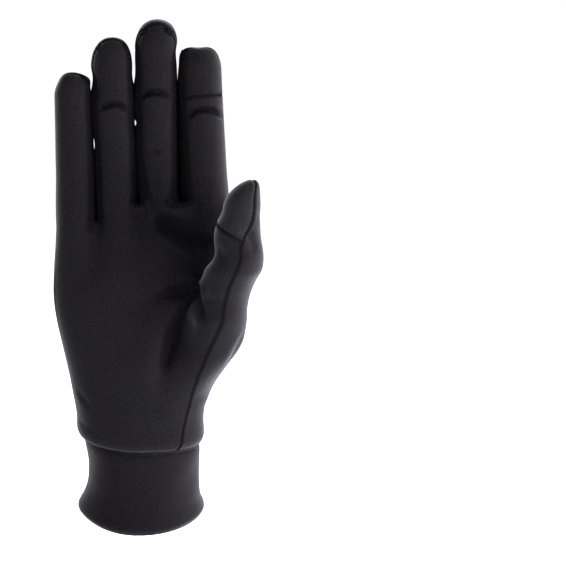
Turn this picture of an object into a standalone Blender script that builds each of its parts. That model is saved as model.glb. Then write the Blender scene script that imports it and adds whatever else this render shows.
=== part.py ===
"""Glove liner for a right hand, in the form that a hand gives it.

The hand's palm faces -Y, the fingers point to +Z and the thumb is on the +X side. The origin is the
middle of the cuff's mouth. Tables and sizes are in millimetres and become metres when a mesh is made.
"""

import math
from collections import namedtuple

import bmesh
import bpy
import numpy as np
from mathutils.bvhtree import BVHTree

MM = 0.001

# Fabric and joints
FABRIC = 1.0
CUFF_FABRIC = 2.0
JOINT_GAP = 0.4
CUFF_GAP = 0.5
WELD = 0.02

# Number of faces along and across the pieces
FINGER_COLUMNS = 5
FINGER_ROWS = 11
CAP_ROWS = 4
STRIP_COLUMNS = 2
WEB_ROW = 9
UPPER_PALM_ROWS = 5
THUMB_FRONT_COLUMNS = 3
THUMB_OUTER_COLUMNS = FINGER_COLUMNS + THUMB_FRONT_COLUMNS
THUMB_ROWS = 7
THUMB_TIP_ROWS = 2
INDEX_TIP_ROWS = 1
CUFF_ROWS = 6
CUFF_SIDES = 36

# A section is a level oval: its height, its middle, and its reach to the sides, palm and back
Section = namedtuple("Section", "height middle_x middle_y side palm back")

HAND = (
    Section(30.0, -2.2, 0.0, 29.2, 18.6, 18.6),
    Section(44.0, -2.3, 0.0, 29.4, 19.0, 18.6),
    Section(54.0, -2.2, 0.0, 29.7, 18.6, 18.0),
    Section(62.0, -1.2, 0.0, 31.9, 18.0, 17.3),
    Section(72.0, -0.6, 0.0, 34.2, 17.5, 16.6),
    Section(84.0, 0.1, 0.0, 37.3, 16.8, 15.8),
    Section(96.0, 0.6, 0.0, 40.2, 16.0, 15.0),
    Section(108.0, 1.1, 0.0, 42.1, 15.0, 14.3),
    Section(120.0, 1.5, 0.0, 42.1, 13.8, 13.6),
    Section(133.0, 1.4, 0.0, 41.0, 12.6, 12.6),
    Section(148.0, 1.0, 0.0, 39.7, 11.5, 11.5),
)
LITTLE = (
    Section(143.0, -29.7, 0.0, 9.0, 9.0, 9.0),
    Section(151.0, -29.6, -0.3, 8.9, 8.8, 8.6),
    Section(174.0, -29.4, -1.6, 8.5, 8.0, 7.8),
    Section(185.0, -29.5, -2.8, 8.3, 7.6, 7.6),
    Section(196.6, -29.7, -4.4, 7.9, 7.2, 7.4),
    Section(209.4, -30.0, -6.6, 7.9, 7.2, 7.4),
)
RING = (
    Section(143.0, -10.8, 0.0, 9.1, 9.6, 9.4),
    Section(151.0, -10.8, -0.3, 8.95, 9.4, 9.2),
    Section(174.0, -11.2, -1.2, 9.05, 8.8, 8.6),
    Section(187.0, -11.8, -2.2, 9.2, 8.6, 8.4),
    Section(198.0, -12.0, -3.2, 9.3, 8.4, 8.2),
    Section(208.5, -12.2, -4.6, 9.2, 8.0, 8.0),
    Section(224.5, -11.6, -7.0, 9.2, 8.0, 8.0),
)
MIDDLE = (
    Section(148.0, 7.9, 0.0, 8.7, 9.8, 9.6),
    Section(155.0, 7.9, -0.3, 8.7, 9.6, 9.4),
    Section(174.0, 7.6, -1.0, 8.9, 9.0, 8.8),
    Section(187.0, 7.5, -1.8, 9.0, 8.8, 8.6),
    Section(198.0, 7.5, -2.8, 9.1, 8.6, 8.4),
    Section(218.3, 7.6, -5.0, 9.3, 8.2, 8.2),
    Section(232.3, 8.4, -7.0, 9.3, 8.2, 8.2),
)
INDEX = (
    Section(148.0, 29.6, 0.0, 10.2, 9.8, 9.6),
    Section(162.0, 28.8, -0.6, 9.9, 9.4, 9.2),
    Section(174.0, 28.2, -1.2, 9.8, 9.0, 8.8),
    Section(187.0, 27.6, -2.0, 9.8, 8.8, 8.6),
    Section(198.0, 27.2, -3.0, 9.7, 8.6, 8.4),
    Section(205.5, 26.9, -3.8, 9.6, 8.3, 8.2),
    Section(220.0, 26.8, -6.0, 9.6, 8.3, 8.2),
)
THUMB = (
    Section(60.0, 17.0, -6.0, 11.5, 12.0, 12.0),
    Section(73.0, 24.0, -8.0, 12.0, 12.0, 12.0),
    Section(88.0, 31.5, -12.0, 13.6, 13.0, 12.0),
    Section(97.0, 33.4, -15.5, 13.0, 13.5, 12.0),
    Section(108.0, 34.2, -20.0, 13.4, 13.5, 11.0),
    Section(118.0, 37.4, -25.0, 13.2, 12.5, 10.5),
    Section(125.0, 40.4, -28.0, 12.6, 11.5, 10.0),
    Section(132.0, 42.4, -30.6, 10.9, 10.8, 9.6),
    Section(140.0, 41.8, -33.0, 10.2, 10.2, 9.2),
    Section(145.0, 42.1, -34.4, 9.6, 9.8, 8.8),
    Section(151.5, 43.6, -36.0, 8.2, 8.8, 8.2),
    Section(165.5, 47.6, -39.0, 7.4, 7.6, 7.4),
)

# A digit's tip is a rounded cap of a height of its own; the seam stands a share of the depth from
# the middle towards the palm, where it passes over the tip
Digit = namedtuple("Digit", "sections cap roundness tip_seam")
LITTLE_FINGER = Digit(LITTLE, 12.8, 2.5, 0.34)
RING_FINGER = Digit(RING, 16.0, 2.5, 0.34)
MIDDLE_FINGER = Digit(MIDDLE, 14.0, 2.5, 0.34)
INDEX_FINGER = Digit(INDEX, 14.5, 2.8, 0.34)
THUMB_DIGIT = Digit(THUMB, 14.0, 2.3, 0.0)
FINGERS = (LITTLE_FINGER, RING_FINGER, MIDDLE_FINGER, INDEX_FINGER)

# Ovals are superellipses: 2 is an ellipse, more is squarer
HAND_OVAL = 2.4
DIGIT_OVAL = 2.25
CUFF_OVAL = 2.15

# A crotch is the low point between two fingers, on the palm side and on the back; a strip's edges
# stand a share of the finger's depth off its middle there and where the finger's cap begins
Crotch = namedtuple("Crotch", "name palm_height back_height palm_edge back_edge drop")
CROTCHES = (
    Crotch("fourchette_ring_little", 143.0, 140.0, 0.60, -0.60, 0.8),
    Crotch("fourchette_middle_ring", 149.0, 146.5, 0.60, -0.60, 0.8),
    Crotch("fourchette_index_middle", 150.0, 146.5, 0.86, -0.60, 2.2),
)
STRIP_PALM_EDGE_AT_CAP = 0.40
STRIP_BACK_EDGE_AT_CAP = 0.08
STRIP_END_WIDTH = 0.14
SHOULDER = math.radians(50.0)
LITTLE_SIDE_HEIGHT = 140.0
INDEX_SIDE_HEIGHT = 147.0
KNUCKLE_LIFT = 2.0
ARCH_FADE = 34.0

# Wrist seam and cuff mouth: heights at the little finger's side, palm, thumb's side and back
Level = namedtuple("Level", "little_side palm thumb_side back")
WRIST_SEAM = Level(42.0, 37.0, 37.0, 31.5)
CUFF_MOUTH = Level(6.0, 0.0, 4.0, -3.0)
SEAM_TUCK = 2.0
TUCK_SHARE = 0.03
CuffRow = namedtuple("CuffRow", "share middle_x side depth")
CUFF = (
    CuffRow(0.00, -2.6, 29.0, 24.0),
    CuffRow(0.14, -2.2, 27.8, 22.6),
    CuffRow(0.32, -1.4, 26.3, 20.8),
    CuffRow(0.55, -1.2, 25.9, 19.6),
    CuffRow(0.80, -1.3, 26.5, 18.9),
    CuffRow(1.00, -1.7, 27.3, 18.5),
)

# Thumb: the web between thumb and palm, the seam down its palm side, and its touch patch
WEB_HEIGHT = 113.0
THUMB_SEAM_AT_WRIST = math.radians(37.0)
LinePoint = namedtuple("LinePoint", "height x")
THUMB_SEAM = (
    LinePoint(37.0, 15.4),
    LinePoint(48.0, 16.0),
    LinePoint(56.0, 17.8),
    LinePoint(63.6, 20.2),
    LinePoint(70.0, 23.0),
    LinePoint(82.5, 27.4),
    LinePoint(97.3, 32.6),
    LinePoint(108.0, 35.6),
    LinePoint(113.0, 37.4),
)
THUMB_SEAM_ANGLE = math.radians(0.0)
THUMB_BACK_SEAM_ANGLE = math.radians(174.0)
THUMB_TOUCH_LOW = 140.5
THUMB_TOUCH_HIGH = 149.0
INDEX_TOUCH = 198.6
THUMB_BLEND = 9.0
THUMB_ROOT_TOP = 74.0
THUMB_ROOT_LOW = 56.0
THUMB_ROOT_DEPTH = 14.0
HAND_CENTRE = (8.0, -2.0)
CAST_REACH = 95.0
CAST_STEPS = 700
SEAM_SEARCH_STEPS = 30
LITTLE_SIDE = -math.pi / 2.0
THUMB_SIDE = math.pi / 2.0
WRIST_VALLEY = math.radians(14.0)
VALLEY_REACH = -12.0
VALLEY = (
    LinePoint(37.0, 4.5),
    LinePoint(60.0, 5.0),
    LinePoint(71.0, 7.0),
    LinePoint(79.0, 9.5),
    LinePoint(94.0, 14.5),
    LinePoint(107.0, 18.6),
    LinePoint(113.0, 21.5),
)
RootPoint = namedtuple("RootPoint", "height x y")
THUMB_ROOT = (
    RootPoint(37.0, 8.0, -3.0),
    RootPoint(60.0, 12.0, -4.0),
    RootPoint(73.0, 20.0, -8.0),
    RootPoint(88.0, 29.0, -12.0),
    RootPoint(97.0, 32.5, -15.5),
    RootPoint(108.0, 34.2, -20.0),
    RootPoint(113.0, 35.8, -22.5),
)
WEB_SMOOTHING_RADIUS = 16.0
WEB_SMOOTHING_STEPS = 8

# A fold is a soft dent along a line, laid on the fabric as seen from the palm or from the back
FROM_PALM = 1.0
FROM_BACK = -1.0
FOLD_SPACING = 2.0
Fold = namedtuple("Fold", "view start_x start_height end_x end_height width depth")
FOLDS = (
    Fold(FROM_PALM, 18.7, 109.0, 14.5, 94.0, 3.6, 1.5),
    Fold(FROM_PALM, 14.5, 94.0, 8.0, 76.0, 3.6, 1.1),
    Fold(FROM_PALM, 24.4, 110.0, 27.0, 103.0, 2.8, 0.8),
    Fold(FROM_PALM, 4.0, 152.0, 17.0, 136.5, 4.6, 1.5),
    Fold(FROM_PALM, 17.0, 136.5, 31.0, 132.5, 5.0, 1.4),
    Fold(FROM_PALM, 22.0, 114.5, -1.3, 108.6, 5.0, 1.4),
    Fold(FROM_PALM, 33.0, 133.5, 37.0, 132.0, 4.0, 1.1),
    Fold(FROM_PALM, 43.0, 97.0, 33.9, 95.0, 4.0, 1.0),
    Fold(FROM_PALM, -17.8, 193.8, -6.0, 193.8, 3.2, 0.8),
    Fold(FROM_PALM, 1.0, 199.2, 12.3, 199.2, 3.2, 0.8),
    Fold(FROM_PALM, 20.3, 190.5, 36.2, 189.5, 3.2, 0.8),
    Fold(FROM_PALM, 4.0, 176.0, 9.5, 170.0, 3.2, 0.7),
    Fold(FROM_BACK, 20.7, 142.6, 33.4, 130.2, 4.5, 1.3),
)

Finish = namedtuple("Finish", "colour roughness")
JERSEY = Finish((0.018, 0.018, 0.021, 1.0), 0.85)
TOUCH_JERSEY = Finish((0.028, 0.026, 0.026, 1.0), 0.80)
RIB = Finish((0.015, 0.015, 0.018, 1.0), 0.88)


def smooth(start, end, value):
    """Go from 0 at start to 1 at end without a corner."""
    share = np.clip((value - start) / (end - start), 0.0, 1.0)
    return share * share * (3.0 - 2.0 * share)


def mix(first, second, share):
    return first * (1.0 - share) + second * share


def read_table(rows, at):
    """Read a table, whose first column rises, at a value on a smooth curve through its rows."""
    table = np.array(rows, float)
    keys = table[:, 0]
    values = table[:, 1:]
    slopes = np.gradient(values, keys, axis=0)
    at = np.clip(at, keys[0], keys[-1])
    low = int(np.clip(np.searchsorted(keys, at) - 1, 0, len(keys) - 2))
    span = keys[low + 1] - keys[low]
    t = (at - keys[low]) / span
    start = (1.0 + 2.0 * t) * (1.0 - t) ** 2
    end = t * t * (3.0 - 2.0 * t)
    rise = t * (1.0 - t) ** 2 * span
    fall = t * t * (t - 1.0) * span
    return values[low] * start + values[low + 1] * end + slopes[low] * rise + slopes[low + 1] * fall


def oval_radius(x, y, power):
    """How far a direction reaches in a unit superellipse, as its own norm."""
    return (np.abs(x) ** power + np.abs(y) ** power) ** (1.0 / power)


def oval_point(rows, angle, height, power):
    """Point of a level section. Angle 0 faces the palm side and 90 degrees faces the thumb's side."""
    middle_x, middle_y, side, palm, back = read_table(rows, height)
    x = math.sin(angle)
    y = -math.cos(angle)
    norm = oval_radius(x, y, power)
    depth = palm if y < 0.0 else back
    return np.array((middle_x + side * x / norm, middle_y + depth * y / norm, height))


def cap_start(digit):
    return digit.sections[-1].height - digit.cap


def cap_point(digit, direction):
    """Point of a digit's rounded tip in a direction of its unit ball."""
    start = cap_start(digit)
    _, _, side, palm, back = read_table(digit.sections, start)
    x, y, z = direction
    level = oval_radius(x, y, DIGIT_OVAL)
    norm = oval_radius(level, z, digit.roundness)
    height = start + digit.cap * z / norm
    middle_x, middle_y = read_table(digit.sections, height)[:2]
    depth = palm if y < 0.0 else back
    return np.array((middle_x + side * x / norm, middle_y + depth * y / norm, height))


def seam_direction(offset, climb):
    """Direction of a seam that stands offset towards the palm and climbs from the thumb's side."""
    reach = (1.0 - abs(offset) ** DIGIT_OVAL) ** (1.0 / DIGIT_OVAL)
    direction = np.array((reach * math.cos(climb), -offset, reach * math.sin(climb)))
    return direction / np.linalg.norm(direction)


def seam_angle(offset):
    """Angle of a seam on the thumb's side that stands offset towards the palm."""
    reach = (1.0 - abs(offset) ** DIGIT_OVAL) ** (1.0 / DIGIT_OVAL)
    return math.atan2(reach, offset)


def coons(bottom, top, left, right):
    """Fill a grid of directions between its four edges; rows run from bottom to top."""
    rows = len(left)
    columns = len(bottom)
    grid = []
    for j in range(rows):
        v = j / (rows - 1)
        row = []
        for i in range(columns):
            u = i / (columns - 1)
            across = mix(left[j], right[j], u)
            along = mix(bottom[i], top[i], v)
            corners = mix(mix(bottom[0], bottom[-1], u), mix(top[0], top[-1], u), v)
            row.append(across + along - corners)
        grid.append(row)
    return grid


class Skin:
    """The glove's outer surface as one welded mesh, each face labelled with the piece it is in."""

    def __init__(self):
        self.mesh = bmesh.new()
        self.label = self.mesh.faces.layers.int.new("piece")
        self.names = []
        self.corners = {}

    def corner(self, point):
        key = tuple(int(round(value / WELD)) for value in point)
        for dx in (0, -1, 1):
            for dy in (0, -1, 1):
                for dz in (0, -1, 1):
                    near = self.corners.get((key[0] + dx, key[1] + dy, key[2] + dz))
                    if near is not None:
                        return near
        vertex = self.mesh.verts.new(point)
        self.corners[key] = vertex
        return vertex

    def face(self, points, name):
        if name not in self.names:
            self.names.append(name)
        corners = []
        for point in points:
            vertex = self.corner(point)
            if vertex not in corners:
                corners.append(vertex)
        if len(corners) > 2:
            self.mesh.faces.new(corners)[self.label] = self.names.index(name)

    def grid(self, rows, name):
        for low, high in zip(rows, rows[1:]):
            for i in range(len(low) - 1):
                self.face((low[i], low[i + 1], high[i + 1], high[i]), name)


def level_height(level, angle):
    """Height of a seam round the wrist at an angle from the palm side."""
    side = level.thumb_side if math.sin(angle) > 0.0 else level.little_side
    end = level.palm if math.cos(angle) > 0.0 else level.back
    return mix(end, side, math.sin(angle) ** 2)


def strip_edges(finger, crotch, share):
    """Both edges of the strip on a finger's side, from its crotch (0) to its cap (1)."""
    if crotch is None:
        return 0.0, 0.0
    palm_edge = mix(crotch.palm_edge, STRIP_PALM_EDGE_AT_CAP, smooth(0.0, 0.45, share))
    back_edge = mix(crotch.back_edge, STRIP_BACK_EDGE_AT_CAP, share)
    return palm_edge, back_edge


def cap_edges(finger, crotch, share):
    """The same edges on the cap, from its start (0) to the shoulder (1), where the strip ends."""
    palm_edge, back_edge = strip_edges(finger, crotch, 1.0)
    half = 0.0 if crotch is None else STRIP_END_WIDTH / 2.0
    palm_edge = mix(palm_edge, finger.tip_seam + half, share)
    back_edge = mix(back_edge, finger.tip_seam - half, share)
    return palm_edge, back_edge


def base_heights(number, edge):
    """Heights of both ends of a finger's first row; edge 0 is its palm side and 1 its back."""
    def crotch_height(crotch):
        return mix(crotch.palm_height, crotch.back_height, edge)
    little_side = LITTLE_SIDE_HEIGHT if number == 0 else crotch_height(CROTCHES[number - 1])
    thumb_side = INDEX_SIDE_HEIGHT if number == 3 else crotch_height(CROTCHES[number])
    return little_side, thumb_side


def row_share(finger, row):
    """Share of the way to the cap at a row; the index finger has a row on its touch patch's seam."""
    if finger is INDEX_FINGER:
        lower = FINGER_ROWS - INDEX_TIP_ROWS
        start = INDEX_SIDE_HEIGHT
        seam = (INDEX_TOUCH - start) / (cap_start(finger) - start)
        if row <= lower:
            return seam * row / lower
        return mix(seam, 1.0, (row - lower) / INDEX_TIP_ROWS)
    return row / FINGER_ROWS


def sides(number):
    """The crotches on a finger's little side and on its thumb's side, or None at an outer side."""
    little = CROTCHES[number - 1] if number > 0 else None
    thumb = CROTCHES[number] if number < 3 else None
    return little, thumb


def finger_rows(number, facing):
    """Rows of a finger's palm side (facing 0) or back (facing 1), from its base to over its tip."""
    finger = FINGERS[number]
    little, thumb = sides(number)
    little_base, thumb_base = base_heights(number, facing)
    start = cap_start(finger)
    turn = -1.0 if facing else 1.0

    def angle_at(crotch, share):
        edge = strip_edges(finger, crotch, share)[facing]
        return seam_angle(turn * edge)

    rows = []
    for j in range(FINGER_ROWS + 1):
        share = row_share(finger, j)
        row = []
        for i in range(FINGER_COLUMNS + 1):
            across = i / FINGER_COLUMNS
            angle = mix(-angle_at(little, share), angle_at(thumb, share), across)
            lift = KNUCKLE_LIFT * math.sin(math.pi * across)
            base = mix(little_base, thumb_base, across) + lift
            if facing:
                angle = math.pi - angle
            row.append(oval_point(finger.sections, angle, mix(base, start, share), DIGIT_OVAL))
        rows.append(row)

    def edge_direction(crotch, share, side):
        edge = cap_edges(finger, crotch, share)[facing]
        climb = SHOULDER * share
        direction = seam_direction(edge, climb)
        return direction * np.array((side, 1.0, 1.0))

    bottom = []
    for i in range(FINGER_COLUMNS + 1):
        angle = mix(-angle_at(little, 1.0), angle_at(thumb, 1.0), i / FINGER_COLUMNS)
        bottom.append(np.array((math.sin(angle), -turn * math.cos(angle), 0.0)))
    left = [edge_direction(little, j / CAP_ROWS, -1.0) for j in range(CAP_ROWS + 1)]
    right = [edge_direction(thumb, j / CAP_ROWS, 1.0) for j in range(CAP_ROWS + 1)]
    top = [left[-1]]
    for i in range(1, FINGER_COLUMNS):
        climb = mix(math.pi - SHOULDER, SHOULDER, i / FINGER_COLUMNS)
        top.append(seam_direction(finger.tip_seam, climb))
    top.append(right[-1])
    for row in coons(bottom, top, left, right)[1:]:
        rows.append([cap_point(finger, direction) for direction in row])
    return rows


def strip_rows(number, side):
    """Rows of the strip on one side of a finger, side -1 or 1, from its crotch to its shoulder."""
    finger = FINGERS[number]
    crotch = sides(number)[0 if side < 0 else 1]
    start = cap_start(finger)
    end = 0 if side < 0 else 1
    rows = []
    for j in range(FINGER_ROWS + 1):
        share = row_share(finger, j)
        palm_edge, back_edge = strip_edges(finger, crotch, share)
        row = []
        for i in range(STRIP_COLUMNS + 1):
            across = i / STRIP_COLUMNS
            angle = mix(seam_angle(palm_edge), seam_angle(back_edge), across)
            base = base_heights(number, across)[end]
            point = oval_point(finger.sections, side * angle, mix(base, start, share), DIGIT_OVAL)
            row.append(point)
        rows.append(row)
    for j in range(1, CAP_ROWS + 1):
        share = j / CAP_ROWS
        palm_edge, back_edge = cap_edges(finger, crotch, share)
        row = []
        for i in range(STRIP_COLUMNS + 1):
            edge = mix(palm_edge, back_edge, i / STRIP_COLUMNS)
            direction = seam_direction(edge, SHOULDER * share)
            row.append(cap_point(finger, direction * np.array((side, 1.0, 1.0))))
        rows.append(row)
    return rows


def crotch_line(number):
    """The low line between a finger and its neighbour on the thumb's side, palm to back."""
    first = strip_rows(number, 1)[0]
    second = strip_rows(number + 1, -1)[0]
    drop = np.array((0.0, 0.0, CROTCHES[number].drop))
    return [mix(a, b, 0.5) - drop for a, b in zip(first, second)]


def add_fingers(skin):
    """Add the fingers and their strips; give the first rows of their palm sides and backs."""
    first_rows = ([], [])
    for number, finger in enumerate(FINGERS):
        palm = finger_rows(number, 0)
        back = finger_rows(number, 1)
        if finger is INDEX_FINGER:
            seam = FINGER_ROWS - INDEX_TIP_ROWS
            skin.grid(palm[:seam + 1], "palm_panel")
            skin.grid(palm[seam:], "index_touch_tip")
        else:
            skin.grid(palm, "palm_panel")
        skin.grid(back, "back_panel")
        first_rows[0].extend(palm[0])
        first_rows[1].extend(back[0])
        if number < 3:
            low = crotch_line(number)
            first_rows[0].append(low[0])
            first_rows[1].append(low[-1])
    for number, crotch in enumerate(CROTCHES):
        low = crotch_line(number)
        for digit, side in ((number, 1), (number + 1, -1)):
            rows = strip_rows(digit, side)
            skin.grid([low] + rows, crotch.name)
            tongue = finger_rows(digit, 0)[-1]
            tip = tongue[-2] if side > 0 else tongue[1]
            for i in range(STRIP_COLUMNS):
                skin.face((rows[-1][i], rows[-1][i + 1], tip), crotch.name)
    return first_rows


def hand_angle(x, height):
    """Angle of the hand's palm side at an x, as an angle from its middle."""
    middle_x, _, side = read_table(HAND, height)[:3]
    share = float(np.clip((x - middle_x) / side, -1.0, 1.0))
    rest = (1.0 - abs(share) ** HAND_OVAL) ** (1.0 / HAND_OVAL)
    return math.atan2(share, rest)


def oval_distance(rows, x, y, height, power):
    """About how far points lie outside a level section; below 0 is inside."""
    middle_x, middle_y, side, palm, back = read_table(rows, height)
    dx = x - middle_x
    dy = y - middle_y
    depth = np.where(dy < 0.0, palm, back)
    norm = oval_radius(dx / side, dy / depth, power)
    return np.hypot(dx, dy) * (1.0 - 1.0 / np.maximum(norm, 1e-6))


def outer_crossing(start, direction, height):
    """Where a level line from inside leaves the blended outline of hand and thumb's root."""
    reach = np.linspace(0.0, CAST_REACH, CAST_STEPS)
    x = start[0] + reach * direction[0]
    y = start[1] + reach * direction[1]
    hand = oval_distance(HAND, x, y, height, HAND_OVAL)
    sunk = THUMB_ROOT_DEPTH * smooth(THUMB_ROOT_TOP, THUMB_ROOT_LOW, height)
    thumb = oval_distance(THUMB, x, y, height, DIGIT_OVAL) + sunk
    blend = np.maximum(THUMB_BLEND - np.abs(hand - thumb), 0.0) / THUMB_BLEND
    both = np.minimum(hand, thumb) - blend * blend * THUMB_BLEND / 4.0
    inside = np.flatnonzero(both < 0.0)[-1]
    step = both[inside] / (both[inside] - both[inside + 1])
    r = mix(reach[inside], reach[inside + 1], step)
    return np.array((start[0] + r * direction[0], start[1] + r * direction[1], height))


def outline_point(origin, angle, height):
    """Point of the blended outline in a direction from an origin."""
    return outer_crossing(origin, (math.sin(angle), -math.cos(angle)), height)


def cast_angle(origin, point):
    return math.atan2(point[0] - origin[0], origin[1] - point[1])


def palm_share(row):
    """Share of the way from wrist to crotches at a row, with a row on the thumb's web."""
    web = (WEB_HEIGHT - WRIST_SEAM.palm) / (CROTCHES[2].palm_height - WRIST_SEAM.palm)
    if row == 0:
        return 0.0
    if row <= WEB_ROW:
        return mix(TUCK_SHARE, web, (row - 1) / (WEB_ROW - 1))
    return mix(web, 1.0, (row - WEB_ROW) / UPPER_PALM_ROWS)


def tucked(point, row):
    """A point of the lower hand; the fabric turns in to the wrist seam at the first row."""
    if row > 0:
        return point
    inward = np.array((HAND[1].middle_x - point[0], -point[1], 0.0))
    return point + inward * SEAM_TUCK / np.linalg.norm(inward)


def arched(point, arch, top_height):
    """A point of the hand near the fingers, where it takes on their arches."""
    return point + arch * smooth(top_height - ARCH_FADE, top_height, point[2])


def palm_rows(first_row, web_column):
    """Rows of the palm from the wrist seam up to the fingers' first row.

    The column at the thumb's web follows the valley beside the ball of the thumb.
    """
    web_top = first_row[web_column]
    web_angle = hand_angle(web_top[0], web_top[2])
    rows = []
    for j in range(WEB_ROW + UPPER_PALM_ROWS + 1):
        share = palm_share(j)
        turn = smooth(0.0, palm_share(WEB_ROW), share)
        row = []
        for k, top in enumerate(first_row):
            top_angle = hand_angle(top[0], top[2])
            arch = top - oval_point(HAND, top_angle, top[2], HAND_OVAL)
            low = level_height(WRIST_SEAM, mix(LITTLE_SIDE, WRIST_VALLEY, min(1.0, k / web_column)))
            height = mix(low, top[2], share)
            if k > web_column or j > WEB_ROW:
                climb = smooth(palm_share(WEB_ROW), 1.0, share)
                valley = mix(hand_angle(read_table(VALLEY, WEB_HEIGHT)[0], WEB_HEIGHT), web_angle, climb)
            else:
                valley = hand_angle(read_table(VALLEY, height)[0], height)
            if k <= web_column:
                spread = (top_angle - LITTLE_SIDE) / (web_angle - LITTLE_SIDE)
                spread = mix(k / web_column, spread, turn)
                angle = mix(LITTLE_SIDE, valley, spread)
            else:
                spread = (top_angle - web_angle) / (THUMB_SIDE - web_angle)
                angle = mix(valley, THUMB_SIDE, spread)
            point = oval_point(HAND, angle, height, HAND_OVAL)
            if j <= WEB_ROW and k <= web_column and point[0] > VALLEY_REACH:
                point = outer_crossing((point[0], 0.0), (0.0, -1.0), height)
            row.append(arched(tucked(point, j), arch, top[2]))
        rows.append(row)
    return rows


def back_rows(first_row, palm):
    """Rows of the back of the hand, welded to the palm's rows at both sides."""
    rows = []
    last = len(first_row) - 1
    for j in range(WEB_ROW + UPPER_PALM_ROWS + 1):
        share = palm_share(j)
        turn = smooth(0.0, palm_share(WEB_ROW), share)
        row = []
        for k, top in enumerate(first_row):
            top_angle = hand_angle(top[0], top[2])
            arch = top - oval_point(HAND, math.pi - top_angle, top[2], HAND_OVAL)
            angle = math.pi - mix(mix(LITTLE_SIDE, THUMB_SIDE, k / last), top_angle, turn)
            height = mix(level_height(WRIST_SEAM, angle), top[2], share)
            point = oval_point(HAND, angle, height, HAND_OVAL)
            if j < WEB_ROW:
                point = outline_point(HAND_CENTRE, cast_angle(HAND_CENTRE, point), height)
            row.append(arched(tucked(point, j), arch, top[2]))
        row[0] = palm[j][0]
        if j >= WEB_ROW:
            row[-1] = palm[j][-1]
        rows.append(row)
    return rows


def thumb_seam_point(origin, height, row):
    """Point of the thumb's palm-side seam below the web."""
    x = read_table(THUMB_SEAM, height)[0]
    low, high = math.radians(-60.0), math.radians(80.0)
    for _ in range(SEAM_SEARCH_STEPS):
        middle = (low + high) / 2.0
        if outline_point(origin, middle, height)[0] < x:
            low = middle
        else:
            high = middle
    return tucked(outline_point(origin, low, height), row)


def arc_points(origin, start, end, count, row):
    """Points of the blended outline from one of its points to another."""
    points = [start]
    for i in range(1, count):
        share = i / count
        angle = mix(cast_angle(origin, start), cast_angle(origin, end), share)
        point = outline_point(origin, angle, mix(start[2], end[2], share))
        points.append(tucked(point, row))
    return points + [end]


def thumb_height(base, angle, row):
    """Height of a thumb's row at an angle, with a row on the touch patch's sloping seam."""
    start = cap_start(THUMB_DIGIT)
    touch = mix(THUMB_TOUCH_LOW, THUMB_TOUCH_HIGH, 0.5 - 0.5 * math.cos(angle - THUMB_SEAM_ANGLE))
    lower = THUMB_ROWS - THUMB_TIP_ROWS
    if row <= lower:
        return mix(base, touch, row / lower)
    return mix(touch, start, (row - lower) / THUMB_TIP_ROWS)


def thumb_rows(base_row, first_angle, last_angle):
    """Rows of one side of the thumb between two seams, from its root to over its tip."""
    columns = len(base_row) - 1
    rows = [base_row]
    for j in range(1, THUMB_ROWS + 1):
        row = []
        for i, base in enumerate(base_row):
            angle = mix(first_angle, last_angle, i / columns)
            height = thumb_height(base[2], angle, j)
            row.append(oval_point(THUMB, angle, height, DIGIT_OVAL))
        rows.append(row)

    def level(angle):
        return np.array((math.sin(angle), -math.cos(angle), 0.0))

    def climbing(angle, climb):
        return level(angle) * math.cos(climb) + np.array((0.0, 0.0, math.sin(climb)))

    bottom = [level(mix(first_angle, last_angle, i / columns)) for i in range(columns + 1)]
    climbs = [SHOULDER * j / CAP_ROWS for j in range(CAP_ROWS + 1)]
    left = [climbing(first_angle, climb) for climb in climbs]
    right = [climbing(last_angle, climb) for climb in climbs]
    top = []
    half = columns / 2.0
    for i in range(columns + 1):
        if i <= half:
            top.append(climbing(first_angle, mix(SHOULDER, math.pi / 2.0, i / half)))
        else:
            top.append(climbing(last_angle, mix(math.pi / 2.0, SHOULDER, (i - half) / half)))
    for row in coons(bottom, top, left, right)[1:]:
        rows.append([cap_point(THUMB_DIGIT, direction) for direction in row])
    return rows


def add_hand(skin, first_rows):
    """Add the palm, the back and the thumb, welded to the fingers' first rows."""
    palm_row, back_row = first_rows
    web_column = len(palm_row) - 1 - FINGER_COLUMNS
    palm = palm_rows(palm_row, web_column)
    back = back_rows(back_row, palm)
    web = palm[WEB_ROW][web_column:]
    skin.grid([row[:web_column + 1] for row in palm], "palm_panel")
    skin.grid([row[web_column:] for row in palm[WEB_ROW:]], "palm_panel")
    skin.grid(back, "back_panel")

    root_front = []
    root_outer = []
    for j in range(WEB_ROW + 1):
        share = palm_share(j) / palm_share(WEB_ROW)
        height = mix(level_height(WRIST_SEAM, THUMB_SEAM_AT_WRIST), WEB_HEIGHT, share)
        origin = tuple(read_table(THUMB_ROOT, height))
        seam = thumb_seam_point(origin, height, j)
        root_front.append(arc_points(origin, palm[j][web_column], seam, THUMB_FRONT_COLUMNS, j))
        root_outer.append(arc_points(origin, seam, back[j][-1], THUMB_OUTER_COLUMNS, j))
    skin.grid(root_front, "palm_panel")
    skin.grid(root_outer, "thumb_panel")

    inner_base = web[::-1] + root_front[-1][1:]
    full_turn = 2.0 * math.pi
    inner = thumb_rows(inner_base, THUMB_BACK_SEAM_ANGLE, full_turn + THUMB_SEAM_ANGLE)
    outer = thumb_rows(root_outer[-1], THUMB_SEAM_ANGLE, THUMB_BACK_SEAM_ANGLE)
    for inner_row, outer_row in zip(inner[1:], outer[1:]):
        outer_row[0] = inner_row[-1]
        outer_row[-1] = inner_row[0]
    touch = THUMB_ROWS - THUMB_TIP_ROWS
    skin.grid(inner[:touch + 1], "palm_panel")
    skin.grid(inner[touch:], "thumb_touch_tip")
    skin.grid(outer, "thumb_panel")
    return web


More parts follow.
